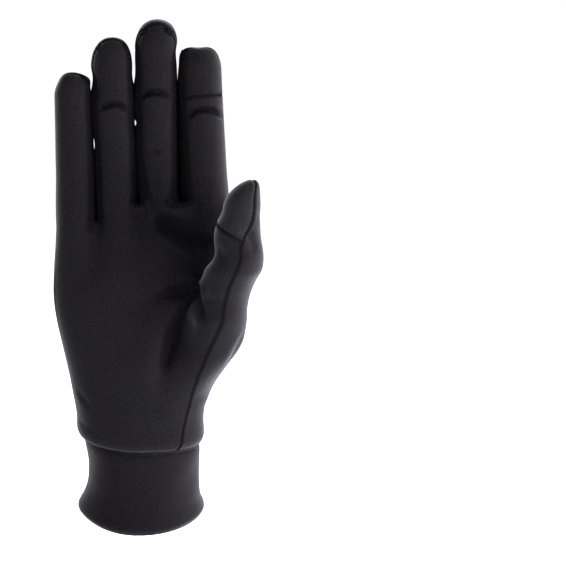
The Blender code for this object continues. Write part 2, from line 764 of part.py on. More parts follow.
def smooth_web(skin, web):
    """Round the valley where the thumb leaves the palm."""
    line = [np.array(point) for point in web]
    near = []
    for vertex in skin.mesh.verts:
        place = np.array(vertex.co)
        if min(np.linalg.norm(place - point) for point in line) < WEB_SMOOTHING_RADIUS:
            near.append(vertex)
    for _ in range(WEB_SMOOTHING_STEPS):
        bmesh.ops.smooth_vert(
            skin.mesh, verts=near, factor=0.5, use_axis_x=True, use_axis_y=True, use_axis_z=True
        )


def fold_line(tree, fold):
    """Points of a fold's line, laid on the surface in its direction of view."""
    start = np.array((fold.start_x, fold.start_height))
    end = np.array((fold.end_x, fold.end_height))
    count = int(np.linalg.norm(end - start) / FOLD_SPACING) + 2
    points = []
    for share in np.linspace(0.0, 1.0, count):
        x, height = mix(start, end, share)
        place = tree.ray_cast((x, -fold.view * CAST_REACH, height), (0.0, fold.view, 0.0))[0]
        points.append(np.array(place))
    return points


def lay_folds(skin):
    """Press the folds into the surface, along its own normals."""
    tree = BVHTree.FromBMesh(skin.mesh)
    lines = [(fold, fold_line(tree, fold)) for fold in FOLDS]
    moves = []
    for vertex in skin.mesh.verts:
        place = np.array(vertex.co)
        depth = 0.0
        for fold, line in lines:
            away = min(np.linalg.norm(place - point) for point in line)
            depth += fold.depth * math.exp(-((away / fold.width) ** 2))
        moves.append((vertex, vertex.normal * depth))
    for vertex, move in moves:
        vertex.co -= move


def build_skin():
    """The whole outer surface above the wrist seam."""
    skin = Skin()
    first_rows = add_fingers(skin)
    web = add_hand(skin, first_rows)
    bmesh.ops.recalc_face_normals(skin.mesh, faces=skin.mesh.faces)
    smooth_web(skin, web)
    skin.mesh.normal_update()
    lay_folds(skin)
    skin.mesh.normal_update()
    return skin


def inward_step(vertex, faces):
    """Step from a piece's edge into the piece that leaves half the joint's gap."""
    normals = []
    for edge in vertex.link_edges:
        own = [face for face in edge.link_faces if face in faces]
        if len(own) != 1:
            continue
        along = (edge.other_vert(vertex).co - vertex.co).normalized()
        inward = along.cross(own[0].normal).normalized()
        if inward.dot(own[0].calc_center_median() - vertex.co) < 0.0:
            inward.negate()
        normals.append(inward)
    if not normals:
        return None
    total = sum(normals[1:], normals[0].copy())
    spread = 1.0 + max(-0.6, min(1.0, normals[0].dot(normals[-1])))
    return total * (JOINT_GAP / 2.0) / (spread if len(normals) > 1 else 1.0)


def panel_mesh(skin, name):
    """Give one piece of the skin the fabric's thickness, inwards, as one closed body."""
    number = skin.names.index(name)
    faces = {face for face in skin.mesh.faces if face[skin.label] == number}
    solid = bmesh.new()
    outer = {}
    inner = {}
    for face in skin.mesh.faces:
        if face not in faces:
            continue
        for vertex in face.verts:
            if vertex in outer:
                continue
            step = inward_step(vertex, faces)
            place = vertex.co.copy() if step is None else vertex.co + step
            outer[vertex] = solid.verts.new(place * MM)
            inner[vertex] = solid.verts.new((place - vertex.normal * FABRIC) * MM)
    for face in skin.mesh.faces:
        if face not in faces:
            continue
        solid.faces.new([outer[vertex] for vertex in face.verts])
        solid.faces.new([inner[vertex] for vertex in reversed(face.verts)])
        for loop in face.loops:
            neighbours = [other for other in loop.edge.link_faces if other in faces]
            if len(neighbours) == 1:
                first = loop.vert
                second = loop.link_loop_next.vert
                solid.faces.new((outer[second], outer[first], inner[first], inner[second]))
    return solid


def cuff_ring(row, inset, share):
    """A ring of points round the cuff."""
    ring = []
    for k in range(CUFF_SIDES):
        angle = 2.0 * math.pi * k / CUFF_SIDES
        mouth = level_height(CUFF_MOUTH, angle)
        seam = level_height(WRIST_SEAM, angle) - CUFF_GAP
        middle_x, side, depth = row
        x = math.sin(angle)
        y = -math.cos(angle)
        norm = oval_radius(x, y, CUFF_OVAL)
        height = mix(mouth, seam, share)
        ring.append(((middle_x + (side - inset) * x / norm), (depth - inset) * y / norm, height))
    return ring


def cuff_mesh():
    """The cuff: a double layer of knit, a tube with a flared mouth."""
    solid = bmesh.new()
    walls = []
    for inset in (0.0, CUFF_FABRIC):
        rings = []
        for j in range(CUFF_ROWS + 1):
            share = j / CUFF_ROWS
            ring = cuff_ring(read_table(CUFF, share), inset, share)
            rings.append([solid.verts.new([value * MM for value in point]) for point in ring])
        walls.append(rings)
    outer, inner = walls
    around = outer + inner[::-1]
    for low, high in zip(around, around[1:] + around[:1]):
        for k in range(CUFF_SIDES):
            after = (k + 1) % CUFF_SIDES
            solid.faces.new((low[k], low[after], high[after], high[k]))
    bmesh.ops.recalc_face_normals(solid, faces=solid.faces)
    return solid


def make_material(name, finish):
    """Material of one piece."""
    material = bpy.data.materials.new(name)
    material.use_nodes = True
    shader = material.node_tree.nodes["Principled BSDF"]
    shader.inputs["Base Color"].default_value = finish.colour
    shader.inputs["Roughness"].default_value = finish.roughness
    shader.inputs["Metallic"].default_value = 0.0
    return material


def make_object(name, solid, finish):
    """Put a piece in the scene under its own name with its own material."""
    mesh = bpy.data.meshes.new(name)
    solid.to_mesh(mesh)
    solid.free()
    mesh.shade_smooth()
    mesh.set_sharp_from_angle(angle=math.radians(50.0))
    mesh.materials.append(make_material(name + "_fabric", finish))
    thing = bpy.data.objects.new(name, mesh)
    bpy.context.scene.collection.objects.link(thing)
    return thing


def main():
    for old in list(bpy.data.objects):
        bpy.data.objects.remove(old, do_unlink=True)
    skin = build_skin()
    for name in skin.names:
        finish = TOUCH_JERSEY if name.endswith("touch_tip") else JERSEY
        make_object(name, panel_mesh(skin, name), finish)
    skin.mesh.free()
    make_object("cuff_band", cuff_mesh(), RIB)


main()
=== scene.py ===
"""Glove liner for a right hand: its fabric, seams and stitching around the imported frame.

The palm faces -Y, the fingers point to +Z and the thumb is on the +X side. The form's tables are in
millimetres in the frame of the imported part, and every mesh is made in metres.
"""

import heapq
import logging
import math
from dataclasses import dataclass, field
from enum import Enum
from typing import Any, Dict, Iterable, List, NamedTuple, Optional, Sequence, Tuple

import bmesh
import bpy
import numpy as np
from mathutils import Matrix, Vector, noise
from mathutils.bvhtree import BVHTree


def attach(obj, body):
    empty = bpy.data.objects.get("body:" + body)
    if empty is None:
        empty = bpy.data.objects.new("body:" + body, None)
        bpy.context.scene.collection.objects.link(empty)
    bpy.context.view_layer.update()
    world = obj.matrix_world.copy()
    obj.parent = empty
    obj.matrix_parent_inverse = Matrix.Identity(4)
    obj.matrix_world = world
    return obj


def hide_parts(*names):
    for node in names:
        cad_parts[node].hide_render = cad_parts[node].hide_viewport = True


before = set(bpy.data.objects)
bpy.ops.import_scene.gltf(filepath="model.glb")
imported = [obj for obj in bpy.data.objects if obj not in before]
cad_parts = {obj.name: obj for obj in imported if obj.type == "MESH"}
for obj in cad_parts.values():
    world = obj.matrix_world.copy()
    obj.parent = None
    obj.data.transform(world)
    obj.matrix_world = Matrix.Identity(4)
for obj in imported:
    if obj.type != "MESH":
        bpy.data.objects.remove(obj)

MM = 0.001
TINY = 1e-9
SIDE = math.pi / 2.0
GOLDEN_TURN = math.pi * (3.0 - math.sqrt(5.0))
SHARP = math.radians(55.0)
LOG = logging.getLogger("glove_liner")
Point = np.ndarray
Row = List[Point]
Edge = Tuple[int, int]
Place = Tuple[float, float, float]
Colour = Tuple[float, float, float, float]


class Piece(Enum):
    """The pieces of fabric, by the names of the solids they finish."""

    PALM = "palm_panel"
    BACK = "back_panel"
    RING_LITTLE = "fourchette_ring_little"
    MIDDLE_RING = "fourchette_middle_ring"
    INDEX_MIDDLE = "fourchette_index_middle"
    THUMB = "thumb_panel"
    INDEX_TIP = "index_touch_tip"
    THUMB_TIP = "thumb_touch_tip"
    CUFF = "cuff_band"


class View(Enum):
    """The side that a fold is laid on; the value is the way of looking along Y."""

    PALM = 1.0
    BACK = -1.0


class SeamKind(Enum):
    """The kinds of seam between two pieces."""

    NONE = 0
    PANEL = 1
    TOUCH = 2
    WRIST = 3


class Section(NamedTuple):
    """A level oval: its height, its middle, and its reach to the sides, palm and back."""

    height: float
    middle_x: float
    middle_y: float
    side: float
    palm: float
    back: float


class LinePoint(NamedTuple):
    """A point of a line on the palm side."""

    height: float
    x: float


class RootPoint(NamedTuple):
    """A point of the thumb's middle line below the web."""

    height: float
    x: float
    y: float


class CuffRow(NamedTuple):
    """A ring of the cuff at a share of the way from its mouth to its seam."""

    share: float
    middle_x: float
    side: float
    depth: float


class Level(NamedTuple):
    """Heights of a line round the wrist, on its four sides."""

    little_side: float
    palm: float
    thumb_side: float
    back: float

    def at(self, angle: float) -> float:
        """Height at an angle, where 0 faces the palm side and 90 degrees the thumb's side."""
        side = self.thumb_side if math.sin(angle) > 0.0 else self.little_side
        end = self.palm if math.cos(angle) > 0.0 else self.back
        return mix(end, side, math.sin(angle) ** 2)


def smooth(start: float, end: float, value: Any) -> Any:
    """Go from 0 at start to 1 at end without a corner.

    Args:
        start: Value where the result is 0.
        end: Value where the result is 1.
        value: A number or an array.

    Returns:
        The eased share.
    """
    share = np.clip((value - start) / (end - start), 0.0, 1.0)
    return share * share * (3.0 - 2.0 * share)


def mix(first: Any, second: Any, share: Any) -> Any:
    """Blend two values; share 0 gives the first."""
    return first * (1.0 - share) + second * share


def oval_norm(x: Any, y: Any, power: float) -> Any:
    """How far a direction reaches in a unit superellipse, as its own norm."""
    return (np.abs(x) ** power + np.abs(y) ** power) ** (1.0 / power)


class Table:
    """Rows of sizes, read at any value of their first column on a smooth curve."""

    def __init__(self, *rows: Sequence[float]) -> None:
        """Keep the rows and their slopes."""
        table = np.array(rows, float)
        self.keys = table[:, 0]
        self.values = table[:, 1:]
        self.slopes = np.gradient(self.values, self.keys, axis=0)

    def at(self, value: float) -> np.ndarray:
        """Read the other columns.

        Args:
            value: Where to read, in the first column's unit.

        Returns:
            The other columns there.
        """
        value = float(np.clip(value, self.keys[0], self.keys[-1]))
        low = int(np.clip(np.searchsorted(self.keys, value) - 1, 0, len(self.keys) - 2))
        span = self.keys[low + 1] - self.keys[low]
        t = (value - self.keys[low]) / span
        ends = self.values[low] * (1.0 + 2.0 * t) * (1.0 - t) ** 2
        ends = ends + self.values[low + 1] * t * t * (3.0 - 2.0 * t)
        bends = self.slopes[low] * t * (1.0 - t) ** 2 + self.slopes[low + 1] * t * t * (t - 1.0)
        return ends + bends * span


@dataclass(frozen=True)
class Tube:
    """A stack of level ovals, such as the hand or a finger."""

    sections: Table
    oval: float

    def point(self, angle: float, height: float) -> Point:
        """Point of a section; angle 0 faces the palm side and 90 degrees the thumb's side."""
        middle_x, middle_y, side, palm, back = self.sections.at(height)
        x = math.sin(angle)
        y = -math.cos(angle)
        norm = oval_norm(x, y, self.oval)
        depth = palm if y < 0.0 else back
        return np.array((middle_x + side * x / norm, middle_y + depth * y / norm, height))

    def outside(self, x: np.ndarray, y: np.ndarray, height: float) -> np.ndarray:
        """About how far points at one height lie outside; below 0 is inside."""
        middle_x, middle_y, side, palm, back = self.sections.at(height)
        dx = x - middle_x
        dy = y - middle_y
        norm = oval_norm(dx / side, dy / np.where(dy < 0.0, palm, back), self.oval)
        return np.hypot(dx, dy) * (1.0 - 1.0 / np.maximum(norm, TINY))


@dataclass(frozen=True)
class Digit(Tube):
    """A finger or the thumb: a tube with a rounded tip and a seam over the tip."""

    cap: float
    roundness: float
    tip_seam: float

    @property
    def cap_start(self) -> float:
        """Height where the rounded tip begins."""
        return float(self.sections.keys[-1]) - self.cap

    def cap_point(self, direction: Point) -> Point:
        """Point of the tip in a direction of its unit ball."""
        _, _, side, palm, back = self.sections.at(self.cap_start)
        x, y, z = direction
        norm = oval_norm(oval_norm(x, y, self.oval), z, self.roundness)
        height = self.cap_start + self.cap * z / norm
        middle_x, middle_y = self.sections.at(height)[:2]
        depth = palm if y < 0.0 else back
        return np.array((middle_x + side * x / norm, middle_y + depth * y / norm, height))


DIGIT_OVAL = 2.25
HAND = Tube(
    Table(
        Section(30.0, -2.2, 0.0, 29.2, 18.6, 18.6),
        Section(44.0, -2.3, 0.0, 29.4, 19.0, 18.6),
        Section(54.0, -2.2, 0.0, 29.7, 18.6, 18.0),
        Section(62.0, -1.2, 0.0, 31.9, 18.0, 17.3),
        Section(72.0, -0.6, 0.0, 34.2, 17.5, 16.6),
        Section(84.0, 0.1, 0.0, 37.3, 16.8, 15.8),
        Section(96.0, 0.6, 0.0, 40.2, 16.0, 15.0),
        Section(108.0, 1.1, 0.0, 42.1, 15.0, 14.3),
        Section(120.0, 1.5, 0.0, 42.1, 13.8, 13.6),
        Section(133.0, 1.4, 0.0, 41.0, 12.6, 12.6),
        Section(148.0, 1.0, 0.0, 39.7, 11.5, 11.5),
    ),
    2.4,
)
LITTLE = Digit(
    Table(
        Section(143.0, -29.7, 0.0, 9.0, 9.0, 9.0),
        Section(151.0, -29.6, -0.3, 8.9, 8.8, 8.6),
        Section(174.0, -29.4, -1.6, 8.5, 8.0, 7.8),
        Section(185.0, -29.5, -2.8, 8.3, 7.6, 7.6),
        Section(196.6, -29.7, -4.4, 7.9, 7.2, 7.4),
        Section(209.4, -30.0, -6.6, 7.9, 7.2, 7.4),
    ),
    DIGIT_OVAL,
    cap=12.8,
    roundness=2.5,
    tip_seam=0.34,
)
RING = Digit(
    Table(
        Section(143.0, -10.8, 0.0, 9.1, 9.6, 9.4),
        Section(151.0, -10.8, -0.3, 8.95, 9.4, 9.2),
        Section(174.0, -11.2, -1.2, 9.05, 8.8, 8.6),
        Section(187.0, -11.8, -2.2, 9.2, 8.6, 8.4),
        Section(198.0, -12.0, -3.2, 9.3, 8.4, 8.2),
        Section(208.5, -12.2, -4.6, 9.2, 8.0, 8.0),
        Section(224.5, -11.6, -7.0, 9.2, 8.0, 8.0),
    ),
    DIGIT_OVAL,
    cap=16.0,
    roundness=2.5,
    tip_seam=0.42,
)
MIDDLE = Digit(
    Table(
        Section(148.0, 7.9, 0.0, 8.7, 9.8, 9.6),
        Section(155.0, 7.9, -0.3, 8.7, 9.6, 9.4),
        Section(174.0, 7.6, -1.0, 8.9, 9.0, 8.8),
        Section(187.0, 7.5, -1.8, 9.0, 8.8, 8.6),
        Section(198.0, 7.5, -2.8, 9.1, 8.6, 8.4),
        Section(218.3, 7.6, -5.0, 9.3, 8.2, 8.2),
        Section(232.3, 8.4, -7.0, 9.3, 8.2, 8.2),
    ),
    DIGIT_OVAL,
    cap=14.0,
    roundness=2.5,
    tip_seam=0.62,
)
INDEX = Digit(
    Table(
        Section(148.0, 29.6, 0.0, 10.2, 9.8, 9.6),
        Section(162.0, 28.8, -0.6, 9.9, 9.4, 9.2),
        Section(174.0, 28.2, -1.2, 9.8, 9.0, 8.8),
        Section(187.0, 27.6, -2.0, 9.8, 8.8, 8.6),
        Section(198.0, 27.2, -3.0, 9.7, 8.6, 8.4),
        Section(205.5, 26.9, -3.8, 9.6, 8.3, 8.2),
        Section(220.0, 26.8, -6.0, 9.6, 8.3, 8.2),
    ),
    DIGIT_OVAL,
    cap=14.5,
    roundness=2.8,
    tip_seam=0.22,
)
THUMB = Digit(
    Table(
        Section(60.0, 17.0, -6.0, 11.5, 12.0, 12.0),
        Section(73.0, 24.0, -8.0, 12.0, 12.0, 12.0),
        Section(88.0, 31.5, -12.0, 13.6, 13.0, 12.0),
        Section(97.0, 33.4, -15.5, 13.0, 13.5, 12.0),
        Section(108.0, 34.2, -20.0, 13.4, 13.5, 11.0),
        Section(118.0, 37.4, -25.0, 13.2, 12.5, 10.5),
        Section(125.0, 40.4, -28.0, 12.6, 11.5, 10.0),
        Section(132.0, 42.4, -30.6, 10.9, 10.8, 9.6),
        Section(140.0, 41.8, -33.0, 10.2, 10.2, 9.2),
        Section(145.0, 42.1, -34.4, 9.6, 9.8, 8.8),
        Section(151.5, 43.3, -36.0, 8.2, 8.8, 8.2),
        Section(159.5, 44.7, -37.7, 7.8, 8.2, 7.8),
        Section(165.5, 48.0, -39.0, 7.4, 7.6, 7.4),
    ),
    DIGIT_OVAL,
    cap=14.0,
    roundness=1.95,
    tip_seam=0.0,
)
WRIST_SEAM = Level(42.0, 37.0, 37.0, 31.5)
CUFF_MOUTH = Level(6.0, 0.0, 4.0, -3.0)


def linked(edges: Iterable[Edge]) -> Dict[int, List[int]]:
    """Every point with the points that edges join it to."""
    links: Dict[int, List[int]] = {}
    for a, b in edges:
        links.setdefault(a, []).append(b)
        links.setdefault(b, []).append(a)
    return links


def side_reach(offset: float, oval: float) -> float:
    """How far a unit oval reaches to the side at an offset from its middle."""
    return (1.0 - abs(offset) ** oval) ** (1.0 / oval)


def seam_angle(offset: float) -> float:
    """Angle of a seam on the thumb's side that stands offset towards the palm."""
    return math.atan2(side_reach(offset, DIGIT_OVAL), offset)


def seam_direction(offset: float, climb: float) -> Point:
    """Direction of a seam that stands offset towards the palm and climbs over a tip."""
    reach = side_reach(offset, DIGIT_OVAL)
    direction = np.array((reach * math.cos(climb), -offset, reach * math.sin(climb)))
    return direction / np.linalg.norm(direction)


def coons(bottom: Row, top: Row, left: Row, right: Row) -> List[Row]:
    """Fill a grid between its four edges.

    Args:
        bottom: First row.
        top: Last row.
        left: First column.
        right: Last column.

    Returns:
        Rows from bottom to top.
    """
    grid = []
    for j in range(len(left)):
        v = j / (len(left) - 1)
        row = []
        for i in range(len(bottom)):
            u = i / (len(bottom) - 1)
            across = mix(left[j], right[j], u)
            along = mix(bottom[i], top[i], v)
            corners = mix(mix(bottom[0], bottom[-1], u), mix(top[0], top[-1], u), v)
            row.append(across + along - corners)
        grid.append(row)
    return grid


def place_object(name: str, data: Any) -> bpy.types.Object:
    """Put an object in the scene, at the origin."""
    thing = bpy.data.objects.new(name, data)
    bpy.context.scene.collection.objects.link(thing)
    return thing


class Skin:
    """The outer surface as one welded mesh; each face knows its piece and its place in the knit."""

    WELD = 0.02

    def __init__(self) -> None:
        """Start an empty surface."""
        self.mesh = bmesh.new()
        self.label = self.mesh.faces.layers.int.new("piece")
        self.knit = self.mesh.loops.layers.uv.new("knit")
        self.corners: Dict[Tuple[int, int, int], Any] = {}

    def corner(self, point: Point) -> Any:
        """Give the vertex at a point, welded to one that is there already."""
        x, y, z = (int(round(value / self.WELD)) for value in point)
        for dx in (0, -1, 1):
            for dy in (0, -1, 1):
                for dz in (0, -1, 1):
                    near = self.corners.get((x + dx, y + dy, z + dz))
                    if near is not None:
                        return near
        vertex = self.mesh.verts.new(point)
        self.corners[(x, y, z)] = vertex
        return vertex

    def face(self, points: Row, places: Sequence[Tuple[float, float]], piece: Piece) -> None:
        """Add a face, leaving out corners that fall together."""
        corners: List[Any] = []
        kept: List[Tuple[float, float]] = []
        for point, place in zip(points, places):
            vertex = self.corner(point)
            if vertex not in corners:
                corners.append(vertex)
                kept.append(place)
        if len(corners) < 3:
            return
        face = self.mesh.faces.new(corners)
        face[self.label] = list(Piece).index(piece)
        for loop, place in zip(face.loops, kept):
            loop[self.knit].uv = place

    def grid(self, rows: List[Row], piece: Piece) -> None:
        """Add a grid of faces; the knit runs along its columns, measured in metres.

        Args:
            rows: Rows of points, the same number in each.
            piece: The piece that the faces belong to.
        """
        middle = len(rows[0]) // 2
        up = np.full(len(rows[0]), rows[0][middle][2])
        places = []
        for number, row in enumerate(rows):
            if number:
                up = up + np.linalg.norm(np.array(row) - np.array(rows[number - 1]), axis=1)
            steps = [0.0] + [float(np.linalg.norm(b - a)) for a, b in zip(row, row[1:])]
            across = np.cumsum(steps)
            across -= across[middle]
            places.append([(u * MM, v * MM) for u, v in zip(across, up)])
        for j in range(len(rows) - 1):
            for i in range(len(rows[j]) - 1):
                corners = ((j, i), (j, i + 1), (j + 1, i + 1), (j + 1, i))
                points = [rows[b][a] for b, a in corners]
                self.face(points, [places[b][a] for b, a in corners], piece)


@dataclass(frozen=True)
class Crotch:
    """The low point between two fingers, and the edges of the strip that lines it.

    An edge stands a share of the finger's depth towards the palm. The strip's palm edge on the
    finger at its little side and on the one at its thumb's side is given at the crotch and a
    little above it.
    """

    piece: Piece
    palm_height: float
    back_height: float
    little_low_edge: float
    thumb_low_edge: float
    little_edge: float
    thumb_edge: float
    back_edge: float
    drop: float
    rise: float


@dataclass(frozen=True)
class Fingers:
    """The four fingers with the strips between them."""

    digits: Tuple[Digit, ...] = (LITTLE, RING, MIDDLE, INDEX)
    crotches: Tuple[Crotch, ...] = (
        Crotch(Piece.RING_LITTLE, 143.4, 140.0, 0.60, 0.62, 0.34, 0.46, -0.60, 0.8, 1.0),
        Crotch(Piece.MIDDLE_RING, 151.0, 146.5, 0.74, 0.74, 0.36, 0.52, -0.60, 1.0, 2.2),
        Crotch(Piece.INDEX_MIDDLE, 151.0, 146.5, 0.97, 0.80, 0.44, 0.66, -0.60, 1.6, 4.4),
    )
    columns: int = 6
    rows: int = 18
    cap_rows: int = 6
    strip_columns: int = 4
    index_tip_rows: int = 2
    index_touch: float = 198.8
    palm_edge_at_cap: float = 0.40
    back_edge_at_cap: float = 0.08
    strip_end_width: float = 0.14
    shoulder: float = math.radians(50.0)
    low_share: float = 0.2
    narrowing: float = 0.55
    little_side_height: float = 140.0
    index_side_height: float = 147.0
    knuckle_lift: float = 2.0

    def neighbours(self, number: int) -> Tuple[Optional[Crotch], Optional[Crotch]]:
        """Crotches on a finger's little side and thumb's side, or None at an outer side."""
        little = self.crotches[number - 1] if number > 0 else None
        thumb = self.crotches[number] if number < len(self.crotches) else None
        return little, thumb

    def strip_edges(self, crotch: Optional[Crotch], side: float, share: float) -> Tuple[float, float]:
        """Edges of a strip on a finger.

        Args:
            crotch: The crotch that the strip comes from, or None.
            side: -1 where the strip is on the finger's little side, 1 on its thumb's side.
            share: Share of the way from the crotch to the cap.

        Returns:
            The palm edge and the back edge.
        """
        if crotch is None:
            return 0.0, 0.0
        low = crotch.thumb_low_edge if side < 0.0 else crotch.little_low_edge
        above = crotch.thumb_edge if side < 0.0 else crotch.little_edge
        palm_edge = mix(low, above, smooth(0.0, self.low_share, share))
        palm_edge = mix(palm_edge, self.palm_edge_at_cap, smooth(self.narrowing, 1.0, share))
        return palm_edge, mix(crotch.back_edge, self.back_edge_at_cap, share)

    def cap_edges(
        self, digit: Digit, crotch: Optional[Crotch], side: float, share: float
    ) -> Tuple[float, float]:
        """Edges of a strip on the rounded tip.

        Args:
            digit: The finger.
            crotch: The crotch that the strip comes from, or None.
            side: -1 on the finger's little side, 1 on its thumb's side.
            share: 0 at the tip's start, 1 at its shoulder, where the strip ends.

        Returns:
            The palm edge and the back edge.
        """
        palm_edge, back_edge = self.strip_edges(crotch, side, 1.0)
        half = 0.0 if crotch is None else self.strip_end_width / 2.0
        palm_edge = mix(palm_edge, digit.tip_seam + half, share)
        return palm_edge, mix(back_edge, digit.tip_seam - half, share)

    def base_height(self, crotch: Optional[Crotch], side: float, edge: float) -> float:
        """Height of an end of a finger's first row; edge 0 is its palm side and 1 its back."""
        if crotch is None:
            return self.little_side_height if side < 0.0 else self.index_side_height
        level = mix(crotch.palm_height, crotch.back_height, edge)
        return level + crotch.rise * math.sin(math.pi * edge)

    def row_share(self, digit: Digit, row: int) -> float:
        """Share of the way to the cap; the index finger has a row on its touch patch's seam."""
        if digit is not INDEX:
            return row / self.rows
        lower = self.rows - self.index_tip_rows
        seam = self.index_touch - self.index_side_height
        seam /= digit.cap_start - self.index_side_height
        if row <= lower:
            return seam * row / lower
        return mix(seam, 1.0, (row - lower) / self.index_tip_rows)

    def finger_rows(self, number: int, facing: int) -> List[Row]:
        """Rows of one face of a finger from its base to over its tip.

        Args:
            number: The finger, counted from the little finger.
            facing: 0 for the palm side, 1 for the back.

        Returns:
            Rows of points from the little side to the thumb's side.
        """
        digit = self.digits[number]
        little, thumb = self.neighbours(number)
        little_base = self.base_height(little, -1.0, facing)
        thumb_base = self.base_height(thumb, 1.0, facing)
        turn = -1.0 if facing else 1.0

        def angle_at(crotch: Optional[Crotch], side: float, share: float) -> float:
            """Angle of the face's edge beside a strip."""
            return seam_angle(turn * self.strip_edges(crotch, side, share)[facing])

        rows = []
        for j in range(self.rows + 1):
            share = self.row_share(digit, j)
            first = -angle_at(little, -1.0, share)
            last = angle_at(thumb, 1.0, share)
            row = []
            for i in range(self.columns + 1):
                across = i / self.columns
                angle = mix(first, last, across)
                lift = self.knuckle_lift * math.sin(math.pi * across)
                base = mix(little_base, thumb_base, across) + lift
                angle = math.pi - angle if facing else angle
                row.append(digit.point(angle, mix(base, digit.cap_start, share)))
            rows.append(row)
        return rows + self.cap_grid(digit, facing, little, thumb)

    def cap_grid(
        self, digit: Digit, facing: int, little: Optional[Crotch], thumb: Optional[Crotch]
    ) -> List[Row]:
        """Rows of one face of a finger's rounded tip, above its first row.

        Args:
            digit: The finger.
            facing: 0 for the palm side, 1 for the back.
            little: The crotch on its little side, or None.
            thumb: The crotch on its thumb's side, or None.

        Returns:
            Rows of points up to the seam over the tip.
        """
        turn = -1.0 if facing else 1.0

        def edge(crotch: Optional[Crotch], share: float, side: float) -> Point:
            """Direction of the face's edge on the rounded tip."""
            offset = self.cap_edges(digit, crotch, side, share)[facing]
            return seam_direction(offset, self.shoulder * share) * np.array((side, 1.0, 1.0))

        first = -seam_angle(turn * self.strip_edges(little, -1.0, 1.0)[facing])
        last = seam_angle(turn * self.strip_edges(thumb, 1.0, 1.0)[facing])
        angles = [mix(first, last, i / self.columns) for i in range(self.columns + 1)]
        bottom = [np.array((math.sin(a), -turn * math.cos(a), 0.0)) for a in angles]
        shares = [j / self.cap_rows for j in range(self.cap_rows + 1)]
        left = [edge(little, share, -1.0) for share in shares]
        right = [edge(thumb, share, 1.0) for share in shares]
        top = [left[-1]]
        for i in range(1, self.columns):
            climb = mix(math.pi - self.shoulder, self.shoulder, i / self.columns)
            top.append(seam_direction(digit.tip_seam, climb))
        top.append(right[-1])
        grid = coons(bottom, top, left, right)[1:]
        return [[digit.cap_point(direction) for direction in row] for row in grid]

    def strip_rows(self, number: int, side: float) -> List[Row]:
        """Rows of the strip on one side of a finger, from its crotch to its shoulder."""
        digit = self.digits[number]
        crotch = self.neighbours(number)[0 if side < 0.0 else 1]
        rows = []
        for j in range(self.rows + 1):
            share = self.row_share(digit, j)
            palm_edge, back_edge = self.strip_edges(crotch, side, share)
            row = []
            for i in range(self.strip_columns + 1):
                across = i / self.strip_columns
                angle = mix(seam_angle(palm_edge), seam_angle(back_edge), across)
                base = self.base_height(crotch, side, across)
                row.append(digit.point(side * angle, mix(base, digit.cap_start, share)))
            rows.append(row)
        for j in range(1, self.cap_rows + 1):
            share = j / self.cap_rows
            palm_edge, back_edge = self.cap_edges(digit, crotch, side, share)
            row = []
            for i in range(self.strip_columns + 1):
                offset = mix(palm_edge, back_edge, i / self.strip_columns)
                direction = seam_direction(offset, self.shoulder * share)
                row.append(digit.cap_point(direction * np.array((side, 1.0, 1.0))))
            rows.append(row)
        return rows

    def crotch_line(self, number: int) -> Row:
        """The low line between a finger and its neighbour on the thumb's side, palm to back."""
        first = self.strip_rows(number, 1.0)[0]
        second = self.strip_rows(number + 1, -1.0)[0]
        drop = np.array((0.0, 0.0, self.crotches[number].drop))
        return [mix(a, b, 0.5) - drop for a, b in zip(first, second)]

    def add(self, skin: Skin) -> Tuple[Row, Row]:
        """Add the fingers and their strips to the skin.

        Args:
            skin: The surface to add to.

        Returns:
            The first rows of all palm sides and of all backs, from the little finger on.
        """
        first_rows: Tuple[Row, Row] = ([], [])
        for number, digit in enumerate(self.digits):
            palm = self.finger_rows(number, 0)
            back = self.finger_rows(number, 1)
            if digit is INDEX:
                seam = self.rows - self.index_tip_rows
                skin.grid(palm[: seam + 1], Piece.PALM)
                skin.grid(palm[seam:], Piece.INDEX_TIP)
            else:
                skin.grid(palm, Piece.PALM)
            skin.grid(back, Piece.BACK)
            first_rows[0].extend(palm[0])
            first_rows[1].extend(back[0])
            if number < len(self.crotches):
                low = self.crotch_line(number)
                first_rows[0].append(low[0])
                first_rows[1].append(low[-1])
        for number, crotch in enumerate(self.crotches):
            low = self.crotch_line(number)
            for digit_number, side in ((number, 1.0), (number + 1, -1.0)):
                rows = self.strip_rows(digit_number, side)
                skin.grid([low] + rows, crotch.piece)
                tongue = self.finger_rows(digit_number, 0)[-1]
                tip = tongue[-2] if side > 0.0 else tongue[1]
                for i in range(self.strip_columns):
                    place = (0.0, float(tip[2]) * MM)
                    skin.face([rows[-1][i], rows[-1][i + 1], tip], [place] * 3, crotch.piece)
        return first_rows


